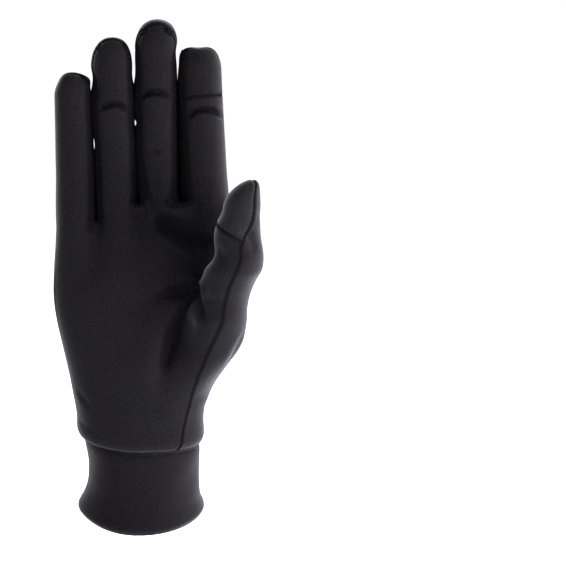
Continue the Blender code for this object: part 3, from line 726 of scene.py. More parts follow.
@dataclass(frozen=True)
class Hand:
    """The palm, the back of the hand and the thumb."""

    web_row: int = 16
    upper_palm_rows: int = 10
    thumb_front_columns: int = 4
    thumb_rows: int = 14
    thumb_tip_rows: int = 4
    thumb_cap_rows: int = 6
    web_height: float = 113.0
    crotch_height: float = 150.0
    wrist_x: float = -2.3
    seam_tuck: float = 2.0
    tuck_share: float = 0.03
    arch_fade: float = 34.0
    seam_at_wrist: float = math.radians(37.0)
    thumb_seam: Table = Table(
        LinePoint(37.0, 15.4),
        LinePoint(48.0, 17.2),
        LinePoint(56.0, 19.2),
        LinePoint(63.6, 21.6),
        LinePoint(70.0, 23.8),
        LinePoint(82.5, 27.4),
        LinePoint(97.3, 33.4),
        LinePoint(108.0, 37.4),
        LinePoint(113.0, 39.6),
    )
    valley: Table = Table(
        LinePoint(37.0, 4.5),
        LinePoint(60.0, 5.0),
        LinePoint(71.0, 7.0),
        LinePoint(79.0, 9.5),
        LinePoint(94.0, 14.5),
        LinePoint(107.0, 18.6),
        LinePoint(113.0, 21.5),
    )
    thumb_root: Table = Table(
        RootPoint(37.0, 8.0, -3.0),
        RootPoint(60.0, 12.0, -4.0),
        RootPoint(73.0, 20.0, -8.0),
        RootPoint(88.0, 29.0, -12.0),
        RootPoint(97.0, 32.5, -15.5),
        RootPoint(108.0, 34.2, -20.0),
        RootPoint(113.0, 35.8, -22.5),
    )
    valley_reach: float = -12.0
    wrist_valley: float = math.radians(14.0)
    front_seam: float = 0.0
    back_seam: float = math.radians(174.0)
    front_limit: float = 0.5
    seam_turn: float = math.radians(34.0)
    turn_start: float = 0.58
    touch_low: float = 139.4
    touch_high: float = 145.8
    shoulder: float = math.radians(50.0)
    blend: float = 9.0
    root_top: float = 74.0
    root_low: float = 56.0
    root_depth: float = 14.0
    centre: Tuple[float, float] = (8.0, -2.0)
    reach: float = 95.0
    reach_steps: int = 700
    search_from: float = math.radians(-60.0)
    search_to: float = math.radians(80.0)
    search_steps: int = 24
    web_rounding: float = 16.0
    web_rounding_steps: int = 20
    web_rounding_share: float = 0.5
    root_line_height: float = 71.0
    root_line_angles: Tuple[int, int, int] = (30, 170, 10)

    def hand_angle(self, x: float, height: float) -> float:
        """Angle of the palm side at an x."""
        middle_x, _, side = HAND.sections.at(height)[:3]
        share = float(np.clip((x - middle_x) / side, -1.0, 1.0))
        return math.atan2(share, side_reach(share, HAND.oval))

    def crossing(self, start: Sequence[float], direction: Sequence[float], height: float) -> Point:
        """Where a level line from inside leaves the blended outline of hand and thumb's root."""
        reach = np.linspace(0.0, self.reach, self.reach_steps)
        x = start[0] + reach * direction[0]
        y = start[1] + reach * direction[1]
        hand = HAND.outside(x, y, height)
        sunk = self.root_depth * smooth(self.root_top, self.root_low, height)
        thumb = THUMB.outside(x, y, height) + sunk
        near = np.maximum(self.blend - np.abs(hand - thumb), 0.0) / self.blend
        both = np.minimum(hand, thumb) - near * near * self.blend / 4.0
        inside = np.flatnonzero(both < 0.0)[-1]
        step = both[inside] / (both[inside] - both[inside + 1])
        r = mix(reach[inside], reach[inside + 1], step)
        return np.array((start[0] + r * direction[0], start[1] + r * direction[1], height))

    def outline(self, origin: Sequence[float], angle: float, height: float) -> Point:
        """Point of the blended outline in a direction from an origin."""
        return self.crossing(origin, (math.sin(angle), -math.cos(angle)), height)

    def cast_angle(self, origin: Sequence[float], point: Point) -> float:
        """Direction of a point from an origin."""
        return math.atan2(point[0] - origin[0], origin[1] - point[1])

    def palm_share(self, row: int) -> float:
        """Share of the way from wrist to crotches at a row, with a row on the thumb's web."""
        web = (self.web_height - WRIST_SEAM.palm) / (self.crotch_height - WRIST_SEAM.palm)
        if row == 0:
            return 0.0
        if row <= self.web_row:
            return mix(self.tuck_share, web, (row - 1) / (self.web_row - 1))
        return mix(web, 1.0, (row - self.web_row) / self.upper_palm_rows)

    def tucked(self, point: Point, row: int) -> Point:
        """A point of the lower hand; the fabric turns in to the wrist seam at the first row."""
        if row > 0:
            return point
        inward = np.array((self.wrist_x - point[0], -point[1], 0.0))
        return point + inward * self.seam_tuck / np.linalg.norm(inward)

    def arched(self, point: Point, arch: Point, top_height: float) -> Point:
        """A point of the hand near the fingers, where it takes on their arches."""
        return point + arch * smooth(top_height - self.arch_fade, top_height, point[2])

    def palm_rows(self, first_row: Row, web_column: int) -> List[Row]:
        """Rows of the palm from the wrist seam to the fingers.

        Args:
            first_row: The fingers' first row.
            web_column: The column that follows the valley beside the ball of the thumb.

        Returns:
            Rows of points from the little finger's side to the thumb's side.
        """
        web_top = first_row[web_column]
        web_angle = self.hand_angle(web_top[0], web_top[2])
        web_share = self.palm_share(self.web_row)
        web_valley = self.hand_angle(self.valley.at(self.web_height)[0], self.web_height)
        rows = []
        for j in range(self.web_row + self.upper_palm_rows + 1):
            share = self.palm_share(j)
            turn = smooth(0.0, web_share, share)
            row = []
            for k, top in enumerate(first_row):
                top_angle = self.hand_angle(top[0], top[2])
                arch = top - HAND.point(top_angle, top[2])
                low_angle = mix(-SIDE, self.wrist_valley, min(1.0, k / web_column))
                height = mix(WRIST_SEAM.at(low_angle), top[2], share)
                if k > web_column or j > self.web_row:
                    valley = mix(web_valley, web_angle, smooth(web_share, 1.0, share))
                else:
                    valley = self.hand_angle(self.valley.at(height)[0], height)
                if k <= web_column:
                    spread = (top_angle + SIDE) / (web_angle + SIDE)
                    angle = mix(-SIDE, valley, mix(k / web_column, spread, turn))
                else:
                    angle = mix(valley, SIDE, (top_angle - web_angle) / (SIDE - web_angle))
                point = HAND.point(angle, height)
                if j <= self.web_row and k <= web_column and point[0] > self.valley_reach:
                    point = self.crossing((point[0], 0.0), (0.0, -1.0), height)
                row.append(self.arched(self.tucked(point, j), arch, top[2]))
            rows.append(row)
        return rows

    def back_rows(self, first_row: Row, palm: List[Row]) -> List[Row]:
        """Rows of the back of the hand, welded to the palm's rows at both sides."""
        rows = []
        for j in range(self.web_row + self.upper_palm_rows + 1):
            share = self.palm_share(j)
            turn = smooth(0.0, self.palm_share(self.web_row), share)
            row = []
            for k, top in enumerate(first_row):
                top_angle = self.hand_angle(top[0], top[2])
                arch = top - HAND.point(math.pi - top_angle, top[2])
                even = mix(-SIDE, SIDE, k / (len(first_row) - 1))
                angle = math.pi - mix(even, top_angle, turn)
                height = mix(WRIST_SEAM.at(angle), top[2], share)
                point = HAND.point(angle, height)
                if j < self.web_row:
                    point = self.outline(self.centre, self.cast_angle(self.centre, point), height)
                row.append(self.arched(self.tucked(point, j), arch, top[2]))
            row[0] = palm[j][0]
            if j >= self.web_row:
                row[-1] = palm[j][-1]
            rows.append(row)
        return rows

    def seam_point(self, origin: Sequence[float], height: float, row: int) -> Point:
        """Point of the thumb's palm-side seam below the web."""
        x = self.thumb_seam.at(height)[0]
        low, high = self.search_from, self.search_to
        for _ in range(self.search_steps):
            middle = (low + high) / 2.0
            if self.outline(origin, middle, height)[0] < x:
                low = middle
            else:
                high = middle
        return self.tucked(self.outline(origin, low, height), row)

    def arc(self, origin: Sequence[float], start: Point, end: Point, count: int, row: int) -> Row:
        """Points of the blended outline from one of its points to another."""
        points = [start]
        for i in range(1, count):
            share = i / count
            angle = mix(self.cast_angle(origin, start), self.cast_angle(origin, end), share)
            point = self.outline(origin, angle, mix(start[2], end[2], share))
            points.append(self.tucked(point, row))
        return points + [end]

    def thumb_height(self, base: float, angle: float, row: int) -> float:
        """Height of a thumb's row at an angle, with a row on the touch patch's sloping seam."""
        around = abs((angle - self.front_seam + math.pi) % (2.0 * math.pi) - math.pi)
        slope = math.sin(min(around, SIDE))
        touch = mix(self.touch_low, self.touch_high, slope)
        lower = self.thumb_rows - self.thumb_tip_rows
        if row <= lower:
            return mix(base, touch, row / lower)
        return mix(touch, THUMB.cap_start, (row - lower) / self.thumb_tip_rows)

    def thumb_side(self, base_row: Row, first_angle: float, last_angle: float) -> List[Row]:
        """Rows of one side of the thumb between two seams.

        Args:
            base_row: Its lowest row.
            first_angle: Angle of the seam at its first column.
            last_angle: Angle of the seam at its last column.

        Returns:
            Rows from the root to over the tip.
        """
        columns = len(base_row) - 1
        seams = np.array((first_angle, last_angle))
        in_front = abs(np.sin(seams / 2.0 - self.front_seam / 2.0)) < self.front_limit
        rows = [base_row]
        for j in range(1, self.thumb_rows + 1):
            turn = self.seam_turn * smooth(self.thumb_rows * self.turn_start, self.thumb_rows, j)
            first_angle, last_angle = seams + np.where(in_front, turn, 0.0)
            even = [mix(seams[0], seams[1], i / columns) for i in range(columns + 1)]
            angles = [mix(first_angle, last_angle, i / columns) for i in range(columns + 1)]
            heights = [self.thumb_height(p[2], a, j) for p, a in zip(base_row, even)]
            rows.append([THUMB.point(a, height) for a, height in zip(angles, heights)])

        def climbing(angle: float, climb: float) -> Point:
            """Direction at an angle round the tip and a climb over it."""
            level = np.array((math.sin(angle), -math.cos(angle), 0.0))
            return level * math.cos(climb) + np.array((0.0, 0.0, math.sin(climb)))

        climbs = [self.shoulder * j / self.thumb_cap_rows for j in range(self.thumb_cap_rows + 1)]
        top = []
        for i in range(columns + 1):
            share = 2.0 * i / columns
            if share <= 1.0:
                top.append(climbing(first_angle, mix(self.shoulder, SIDE, share)))
            else:
                top.append(climbing(last_angle, mix(SIDE, self.shoulder, share - 1.0)))
        bottom = [climbing(a, 0.0) for a in angles]
        left = [climbing(first_angle, climb) for climb in climbs]
        right = [climbing(last_angle, climb) for climb in climbs]
        for row in coons(bottom, top, left, right)[1:]:
            rows.append([THUMB.cap_point(direction) for direction in row])
        return rows

    def add(self, skin: Skin, first_rows: Tuple[Row, Row], finger_columns: int) -> Tuple[Row, Row]:
        """Add the palm, the back and the thumb, welded to the fingers' first rows.

        Args:
            skin: The surface to add to.
            first_rows: The fingers' first rows, palm and back.
            finger_columns: Number of faces across a finger.

        Returns:
            The line of the web between thumb and palm, and the line round the rest of the thumb.
        """
        palm_row, back_row = first_rows
        web_column = len(palm_row) - 1 - finger_columns
        palm = self.palm_rows(palm_row, web_column)
        back = self.back_rows(back_row, palm)
        web = palm[self.web_row][web_column:]
        skin.grid([row[: web_column + 1] for row in palm], Piece.PALM)
        skin.grid([row[web_column:] for row in palm[self.web_row :]], Piece.PALM)
        skin.grid(back, Piece.BACK)
        outer_columns = finger_columns + self.thumb_front_columns
        front, outer = [], []
        for j in range(self.web_row + 1):
            share = self.palm_share(j) / self.palm_share(self.web_row)
            height = mix(WRIST_SEAM.at(self.seam_at_wrist), self.web_height, share)
            origin = tuple(self.thumb_root.at(height))
            seam = self.seam_point(origin, height, j)
            front.append(self.arc(origin, palm[j][web_column], seam, self.thumb_front_columns, j))
            outer.append(self.arc(origin, seam, back[j][-1], outer_columns, j))
        skin.grid(front, Piece.PALM)
        skin.grid(outer, Piece.THUMB)
        inner_base = web[::-1] + front[-1][1:]
        inner_side = self.thumb_side(inner_base, self.back_seam, 2.0 * math.pi + self.front_seam)
        outer_side = self.thumb_side(outer[-1], self.front_seam, self.back_seam)
        for inner_row, outer_row in zip(inner_side[1:], outer_side[1:]):
            outer_row[0] = inner_row[-1]
            outer_row[-1] = inner_row[0]
        touch = self.thumb_rows - self.thumb_tip_rows
        skin.grid(inner_side[: touch + 1], Piece.PALM)
        skin.grid(inner_side[touch:], Piece.THUMB_TIP)
        skin.grid(outer_side, Piece.THUMB)
        return web, front[-1] + outer[-1]

    def round_web(self, skin: Skin, web: Row) -> None:
        """Round the valley where the thumb leaves the palm."""
        near = []
        for vertex in skin.mesh.verts:
            place = np.array(vertex.co)
            if min(np.linalg.norm(place - point) for point in web) < self.web_rounding:
                near.append(vertex)
        for _ in range(self.web_rounding_steps):
            bmesh.ops.smooth_vert(
                skin.mesh,
                verts=near,
                factor=self.web_rounding_share,
                use_axis_x=True,
                use_axis_y=True,
                use_axis_z=True,
            )

    def root_line(self) -> Row:
        """A level line round the root of the thumb."""
        angles = [math.radians(angle) for angle in range(*self.root_line_angles)]
        return [self.outline(self.centre, angle, self.root_line_height) for angle in angles]


@dataclass(frozen=True)
class Fold:
    """A dent pressed into the fabric along a line of points (x, height), laid on from one side.

    The line has its own width on either hand, as seen from the palm's side with the fingers up: a
    soft side and a crisp one make a crease that hangs over. A lip raises the fabric on the right of
    the line. The fold fades in and out over a share of its length at its start and end. How much
    painted shade the dent gets is a share of the full shade. A depth below 0 makes a ridge.
    """

    view: View
    depth: float
    left_width: float
    right_width: float
    line: Tuple[Tuple[float, float], ...]
    lip: float = 0.0
    fade_in: float = 0.3
    fade_out: float = 0.3
    dark: float = 1.0


FOLDS = (
    Fold(
        View.PALM, 1.8, 1.5, 0.8, lip=0.2,
        line=((-18.0, 192.6), (-14.3, 195.0), (-11.7, 195.5), (-8.2, 194.8), (-4.8, 191.8)),
    ),
    Fold(
        View.PALM, 1.9, 1.5, 0.8, lip=0.2,
        line=((-0.4, 197.4), (3.3, 200.2), (6.5, 200.6), (10.4, 199.9), (14.0, 197.2)),
    ),
    Fold(
        View.PALM, 1.8, 1.4, 0.9, lip=0.05, fade_in=0.25, fade_out=0.35,
        line=((20.4, 187.6), (23.4, 191.8), (26.9, 193.0), (31.7, 192.4), (34.9, 190.1), (37.6, 186.8)),
    ),
    Fold(View.PALM, 1.3, 1.3, 2.2, lip=0.2, dark=0.5, line=((3.0, 176.4), (6.0, 175.4), (9.2, 172.4))),
    Fold(View.PALM, 0.5, 2.5, 2.5, line=((8.6, 173.0), (12.0, 168.0))),
    Fold(
        View.PALM, 0.9, 1.8, 2.6, lip=0.3,
        line=((0.6, 166.0), (1.8, 157.5), (5.7, 151.0), (7.4, 146.4)),
    ),
    Fold(
        View.PALM, 3.0, 3.0, 4.4, fade_in=0.2, fade_out=0.1, dark=0.9,
        line=((4.6, 145.4), (11.2, 142.1), (18.3, 137.9), (26.3, 134.6), (31.0, 132.0)),
    ),
    Fold(
        View.PALM, 2.6, 1.0, 1.3, lip=0.3, fade_in=0.05, fade_out=0.4, dark=0.9,
        line=((24.2, 116.5), (20.6, 110.4), (17.4, 104.9), (16.2, 99.4), (14.5, 94.4), (12.9, 90.8)),
    ),
    Fold(
        View.PALM, 1.8, 1.6, 1.4, fade_out=0.7, dark=0.9,
        line=((14.5, 95.0), (12.9, 90.8), (11.0, 84.1), (9.1, 77.6), (6.8, 68.0)),
    ),
    Fold(
        View.PALM, 1.2, 4.0, 4.0, fade_in=0.25, fade_out=0.5, dark=0.2,
        line=((17.5, 104.0), (14.5, 94.0), (11.6, 84.0), (9.0, 74.0), (6.5, 62.0)),
    ),
    Fold(
        View.PALM, -2.4, 5.5, 9.0, fade_out=0.5,
        line=((9.5, 103.0), (5.5, 94.0), (2.5, 84.0), (0.0, 74.0), (-2.0, 64.0)),
    ),
    Fold(
        View.PALM, 1.5, 1.0, 1.7, lip=0.15, fade_in=0.1, fade_out=0.5,
        line=((23.4, 117.2), (24.6, 111.8), (26.0, 106.4), (27.6, 99.0), (28.7, 92.6)),
    ),
    Fold(View.PALM, 0.6, 1.2, 1.2, line=((29.3, 111.9), (31.1, 111.0))),
    Fold(
        View.PALM, 2.8, 4.2, 4.6, fade_in=0.02, fade_out=0.95, dark=0.5,
        line=(
            (22.4, 116.2), (19.4, 113.6), (15.0, 111.9), (10.4, 110.2), (4.9, 108.4),
            (-2.2, 107.2), (-11.0, 105.0),
        ),
    ),
    Fold(View.PALM, 0.5, 1.3, 1.8, lip=0.15, line=((-31.0, 66.0), (-26.8, 61.2), (-23.2, 57.1))),
    Fold(View.PALM, 0.35, 1.2, 1.6, lip=0.1, line=((-31.5, 52.0), (-27.0, 49.0), (-22.0, 47.5))),
    Fold(View.PALM, 0.6, 0.9, 2.2, lip=0.25, line=((45.8, 95.3), (42.1, 86.4), (37.0, 75.6))),
    Fold(View.PALM, 0.9, 2.2, 2.2, line=((44.5, 146.0), (47.6, 139.0), (49.6, 133.0))),
    Fold(View.PALM, 0.6, 3.0, 3.0, line=((33.0, 133.5), (37.0, 132.0))),
    Fold(View.BACK, 1.5, 2.6, 2.6, lip=0.2, line=((20.7, 142.6), (26.0, 137.5), (33.4, 130.2))),
    Fold(View.BACK, 0.4, 1.6, 1.6, line=((18.0, 196.0), (27.0, 194.8), (36.0, 196.0))),
    Fold(View.BACK, 0.4, 1.6, 1.6, line=((1.0, 203.0), (7.6, 201.8), (15.0, 203.0))),
    Fold(View.BACK, 0.4, 1.6, 1.6, line=((-18.0, 198.0), (-12.0, 196.8), (-5.0, 198.0))),
    Fold(View.BACK, 0.5, 2.0, 2.0, lip=0.15, line=((-30.0, 60.0), (-20.0, 50.0), (-12.0, 46.0))),
    Fold(View.BACK, 0.5, 2.0, 2.0, lip=0.15, line=((24.0, 64.0), (14.0, 52.0), (8.0, 46.0))),
)


class Dab(NamedTuple):
    """A soft push of the fabric around a place, in millimetres."""

    x: float
    y: float
    z: float
    radius: float
    move_x: float
    move_y: float
    move_z: float


DABS = (
    Dab(-22.0, -6.6, 204.5, 4.6, 1.4, 0.0, 1.6),
    Dab(-36.0, -6.6, 205.0, 4.0, 0.4, 0.0, -0.8),
    Dab(19.6, -6.0, 217.6, 4.2, -1.0, 0.0, 0.8),
    Dab(26.4, -6.0, 220.2, 2.4, 0.0, 0.0, -0.8),
    Dab(33.0, -6.0, 219.0, 4.0, 0.3, 0.0, 0.4),
    Dab(25.5, -22.0, 119.6, 6.5, -2.4, 0.0, 0.0),
    Dab(27.0, -22.0, 112.0, 5.5, -2.6, 0.0, 0.0),
    Dab(30.5, -26.0, 126.0, 4.5, 0.9, 0.0, 0.0),
    Dab(32.4, -28.0, 129.8, 3.4, 1.4, 0.6, 0.6),
    Dab(44.5, -43.0, 129.0, 5.0, 0.0, -0.5, 0.0),
    Dab(18.6, -11.0, 198.0, 5.0, 0.0, 0.0, -1.6),
)


PALM_VALLEYS = ((2.6, -12.0, 143.5), (2.4, -12.0, 139.0), (-18.4, -11.5, 136.0), (-18.4, -11.5, 132.0))
BELOW_CROTCHES = tuple(
    (x, y, height) for x in (-20.0, -1.5) for y in (-12.0, 12.0) for height in (118.0, 123.0, 128.0, 133.0)
)


class Contact(NamedTuple):
    """How closely two fingers touch at a height; 1 leaves no gap."""

    height: float
    closeness: float


@dataclass(frozen=True)
class Gap:
    """Where the fabric of two neighbouring fingers bulges together."""

    little: Digit
    thumb: Digit
    contact: Table
    middle_depth: float = 1.8
    reach: float = 4.6
    overlap: float = 0.25
    slant: float = 0.45
    slant_limit: float = 0.8
    fade_from: float = 4.0
    fade_to: float = 0.4

    def closed(self, points: np.ndarray) -> np.ndarray:
        """Move points beside the gap towards its middle.

        Args:
            points: Points of the surface.

        Returns:
            The moved points.
        """
        moved = points.copy()
        bottom, top = self.contact.keys[0], self.contact.keys[-1]
        for k in np.flatnonzero((points[:, 2] > bottom) & (points[:, 2] < top)):
            x, y, height = points[k]
            first = self.little.sections.at(height)
            second = self.thumb.sections.at(height)
            if not first[0] < x < second[0]:
                continue
            low, high = first[0] + first[2], second[0] - second[2]
            middle = (low + high) / 2.0
            half = (high - low) / 2.0
            away = x - middle
            deep = (y - (first[1] + second[1]) / 2.0 - self.middle_depth) / self.reach
            share = math.exp(-deep * deep) * smooth(half + self.fade_from, half + self.fade_to, abs(away))
            share *= self.contact.at(height)[0]
            step = max(half + self.overlap, 0.0) * share
            most = self.slant_limit * half
            aside = np.clip(self.slant * deep * self.reach, -most, most) * share
            step = min(step, abs(away) + self.overlap / 2.0)
            moved[k, 0] = x + aside - math.copysign(step, away)
        return moved


GAPS = (
    Gap(
        LITTLE,
        RING,
        Table(
            Contact(141.0, 1.0),
            Contact(149.0, 1.0),
            Contact(172.0, 1.0),
            Contact(177.0, 0.0),
            Contact(182.5, 1.0),
            Contact(200.0, 1.0),
            Contact(206.5, 0.0),
        ),
    ),
    Gap(
        RING,
        MIDDLE,
        Table(
            Contact(148.0, 1.0),
            Contact(157.0, 1.0),
            Contact(184.0, 1.0),
            Contact(186.3, 0.1),
            Contact(188.6, 1.0),
            Contact(202.0, 1.0),
            Contact(207.0, 0.2),
            Contact(216.0, 0.0),
        ),
    ),
    Gap(
        MIDDLE,
        INDEX,
        Table(
            Contact(148.0, 1.0),
            Contact(160.0, 1.0),
            Contact(190.0, 1.0),
            Contact(204.0, 1.0),
            Contact(211.0, 0.0),
        ),
        middle_depth=3.4,
    ),
)


@dataclass
class Surface:
    """The refined outer surface as arrays, with the work that gives it folds, seams and painted shade."""

    points: np.ndarray
    quads: np.ndarray
    labels: np.ndarray
    knit: np.ndarray
    shade: np.ndarray = field(init=False)
    seams: Dict[Edge, SeamKind] = field(init=False)
    seam_distance: np.ndarray = field(init=False)
    relax_share: float = 0.5
    relax_core: float = 0.4
    fold_spacing: float = 1.0
    fold_reach: float = 3.0
    faintest_fold: float = 0.1
    cast_distance: float = 95.0
    side_change: float = 0.4
    lip_place: float = 1.9
    crisp_width: float = 5.0
    fold_shade: float = 0.85
    dark_depth: float = 2.2
    slack: float = 0.22
    slack_length: float = 17.0
    seam_reach: float = 5.0
    seam_groove: float = 0.3
    groove_width: float = 0.6
    seam_welt: float = 0.1
    welt_place: float = 1.5
    welt_width: float = 0.8
    folded_side: float = -30.5
    shelter_rays: int = 14
    shelter_reach: float = 60.0
    shelter_rounds: int = 3
    shelter_lift: float = 0.25
    shelter_free: float = 0.06
    shelter_blend: float = 0.6

    @classmethod
    def refine(cls, skin: Skin, levels: int = 2, rounds: int = 3) -> "Surface":
        """Subdivide the skin so that its corners stay on their places.

        Args:
            skin: The welded surface; it is freed.
            levels: How many times each face is split in four.
            rounds: How often it is split, each time with its corners nearer their places.

        Returns:
            The fine surface.
        """
        wanted = np.array([vertex.co[:] for vertex in skin.mesh.verts])
        placed = wanted.copy()
        mesh = bpy.data.meshes.new("glove_form")
        skin.mesh.to_mesh(mesh)
        skin.mesh.free()
        form = place_object("glove_form", mesh)
        finer = form.modifiers.new("finer", "SUBSURF")
        finer.levels = levels
        finer.render_levels = levels
        for attempt in range(rounds):
            mesh.vertices.foreach_set("co", placed.ravel())
            mesh.update()
            bpy.context.view_layer.update()
            graph = bpy.context.evaluated_depsgraph_get()
            fine = bpy.data.meshes.new_from_object(form.evaluated_get(graph), depsgraph=graph)
            got = np.empty(len(fine.vertices) * 3)
            fine.vertices.foreach_get("co", got)
            got = got.reshape(-1, 3)
            if attempt < rounds - 1:
                placed += wanted - got[: len(wanted)]
                bpy.data.meshes.remove(fine)
        corners = np.empty(len(fine.loops), int)
        fine.loops.foreach_get("vertex_index", corners)
        labels = np.empty(len(fine.polygons), int)
        fine.attributes["piece"].data.foreach_get("value", labels)
        knit = np.empty(len(fine.loops) * 2)
        fine.uv_layers["knit"].data.foreach_get("uv", knit)
        bpy.data.objects.remove(form, do_unlink=True)
        bpy.data.meshes.remove(fine)
        return cls(got, corners.reshape(-1, 4), labels, knit.reshape(-1, 4, 2))

    def normals(self) -> np.ndarray:
        """Normals of the points, weighted by the faces around them."""
        corners = self.points[self.quads]
        face = np.cross(corners[:, 2] - corners[:, 0], corners[:, 3] - corners[:, 1])
        total = np.zeros_like(self.points)
        for k in range(4):
            np.add.at(total, self.quads[:, k], face)
        return total / np.maximum(np.linalg.norm(total, axis=1, keepdims=True), TINY)

    def close_gaps(self, gaps: Sequence[Gap]) -> None:
        """Let neighbouring fingers touch."""
        for gap in gaps:
            self.points = gap.closed(self.points)

    def dab(self, dabs: Sequence[Dab]) -> None:
        """Push the fabric softly at a number of places."""
        for dab in dabs:
            away = np.linalg.norm(self.points - dab[:3], axis=1) / dab.radius
            self.points = self.points + np.exp(-(away**2))[:, None] * dab[4:]

    def relax(self, places: Sequence[Sequence[float]], radius: float, steps: int) -> None:
        """Even out the surface around places.

        Args:
            places: Points near the surface.
            radius: How far around them the surface is touched.
            steps: How often it is evened out.
        """
        near = np.full(len(self.points), np.inf)
        for place in places:
            near = np.minimum(near, np.linalg.norm(self.points - np.array(place), axis=1))
        inside = near < radius
        pairs = self.neighbours()
        pairs = pairs[inside[pairs[:, 0]]]
        count = np.maximum(np.bincount(pairs[:, 0], minlength=len(self.points)), 1)
        share = self.relax_share * smooth(radius, radius * self.relax_core, near) * inside
        for _ in range(steps):
            for axis in range(3):
                around = np.bincount(pairs[:, 0], self.points[pairs[:, 1], axis], len(self.points))
                self.points[:, axis] = mix(self.points[:, axis], around / count, share)

    def fold_depth(self, fold: Fold, tree: BVHTree) -> np.ndarray:
        """How deep a fold presses each point in.

        Args:
            fold: The fold.
            tree: The surface, to lay the fold's line on.

        Returns:
            A depth for each point, in millimetres.
        """
        line = np.array(fold.line)
        lengths = np.linalg.norm(np.diff(line, axis=0), axis=1)
        along = np.concatenate(([0.0], np.cumsum(lengths)))
        at = np.linspace(0.0, along[-1], int(along[-1] / self.fold_spacing) + 2)
        samples = np.stack([np.interp(at, along, line[:, k]) for k in (0, 1)], axis=1)
        share = at / along[-1]
        strength = smooth(0.0, fold.fade_in, share) * smooth(0.0, fold.fade_out, 1.0 - share)
        strength = self.faintest_fold + (1.0 - self.faintest_fold) * strength
        depth = np.zeros(len(self.points))
        nearest = np.full(len(self.points), np.inf)
        across = np.zeros(len(self.points))
        strong = np.zeros(len(self.points))
        reach = self.fold_reach * max(fold.left_width, fold.right_width)
        for number, (x, height) in enumerate(samples):
            start = (x, -fold.view.value * self.cast_distance, height)
            hit = tree.ray_cast(start, (0.0, fold.view.value, 0.0))[0]
            if hit is None:
                continue
            close = np.flatnonzero(np.abs(self.points - np.array(hit)).max(axis=1) < reach)
            away = np.linalg.norm(self.points[close] - np.array(hit), axis=1)
            better = away < nearest[close]
            chosen = close[better]
            nearest[chosen] = away[better]
            strong[chosen] = strength[number]
            after = samples[min(number + 1, len(samples) - 1)] - samples[max(number - 1, 0)]
            flat = self.points[chosen][:, (0, 2)] - (x, height)
            across[chosen] = (after[0] * flat[:, 1] - after[1] * flat[:, 0]) / np.linalg.norm(after)
        reached = np.isfinite(nearest)
        on_left = smooth(-self.side_change, self.side_change, across[reached])
        width = mix(fold.right_width, fold.left_width, on_left)
        away = nearest[reached]
        pressed = fold.depth * np.exp(-((away / width) ** 2))
        beside = (away - self.lip_place * fold.right_width) / fold.right_width
        lip = fold.lip * np.exp(-(beside**2)) * (1.0 - on_left)
        depth[reached] = (pressed - lip) * strong[reached]
        return depth

    def lay_folds(self, folds: Sequence[Fold]) -> None:
        """Press the folds in, paint shade into the crisp ones, and let the fabric lie a little uneven."""
        normals = self.normals()
        tree = BVHTree.FromPolygons(self.points.tolist(), self.quads.tolist())
        depths = [self.fold_depth(fold, tree) for fold in folds]
        depth = sum(depths)
        # Painted shade: each crisp fold, by its share of dark, adds to the shade attribute that darkens
        # the fabric's colour in the creases.
        crisp = [own * fold.dark for own, fold in zip(depths, folds) if fold.left_width < self.crisp_width]
        self.shade = self.fold_shade * np.clip(sum(crisp) / self.dark_depth, 0.0, 1.0) ** 2
        waves = [noise.noise(Vector(point) / self.slack_length) for point in self.points]
        self.points = self.points - normals * (depth + self.slack * np.array(waves))[:, None]

    def find_shelter(self) -> None:
        """Add painted shade by how far the fabric near each point closes it in, from rays cast round it.
        """
        normals = self.normals()
        tree = BVHTree.FromPolygons(self.points.tolist(), self.quads.tolist())
        fan = []
        for k in range(self.shelter_rays):
            up = math.sqrt(1.0 - (k + 0.5) / self.shelter_rays)
            out = math.sqrt(1.0 - up * up)
            fan.append((out * math.cos(GOLDEN_TURN * k), out * math.sin(GOLDEN_TURN * k), up))
        closed = np.zeros(len(self.points))
        for number, (point, normal) in enumerate(zip(self.points, normals)):
            up = Vector(normal)
            side = up.orthogonal().normalized()
            other = up.cross(side)
            start = Vector(point) + up * self.shelter_lift
            for a, b, c in fan:
                distance = tree.ray_cast(start, side * a + other * b + up * c, self.shelter_reach)[3]
                if distance is not None:
                    closed[number] += 1.0 - distance / self.shelter_reach
        closed /= self.shelter_rays
        pairs = self.neighbours()
        count = np.bincount(pairs[:, 0], minlength=len(closed))
        total = self.shade + closed - self.shelter_free
        for _ in range(self.shelter_rounds):
            around = np.bincount(pairs[:, 0], total[pairs[:, 1]], len(total)) / count
            total = mix(total, around, self.shelter_blend)
        self.shade = np.clip(total, 0.0, 1.0)

    def edges(self) -> Dict[Edge, List[int]]:
        """Every edge with the faces beside it."""
        beside: Dict[Edge, List[int]] = {}
        for number, quad in enumerate(self.quads.tolist()):
            for a, b in zip(quad, quad[1:] + quad[:1]):
                beside.setdefault((min(a, b), max(a, b)), []).append(number)
        return beside

    def neighbours(self) -> np.ndarray:
        """Pairs of points joined by an edge, each pair both ways round."""
        pairs = np.array(list(self.edges()))
        return np.concatenate((pairs, pairs[:, ::-1]))

    def seam_kind(self, edge: Edge, faces: List[int]) -> SeamKind:
        """Tell what kind of seam an edge lies on."""
        if len(faces) == 1:
            return SeamKind.WRIST
        pair = {list(Piece)[self.labels[face]] for face in faces}
        if len(pair) == 1:
            return SeamKind.NONE
        if pair == {Piece.PALM, Piece.BACK} and self.points[edge[0], 0] < self.folded_side:
            return SeamKind.NONE
        if pair in ({Piece.PALM, Piece.INDEX_TIP}, {Piece.PALM, Piece.THUMB_TIP}):
            return SeamKind.TOUCH
        return SeamKind.PANEL

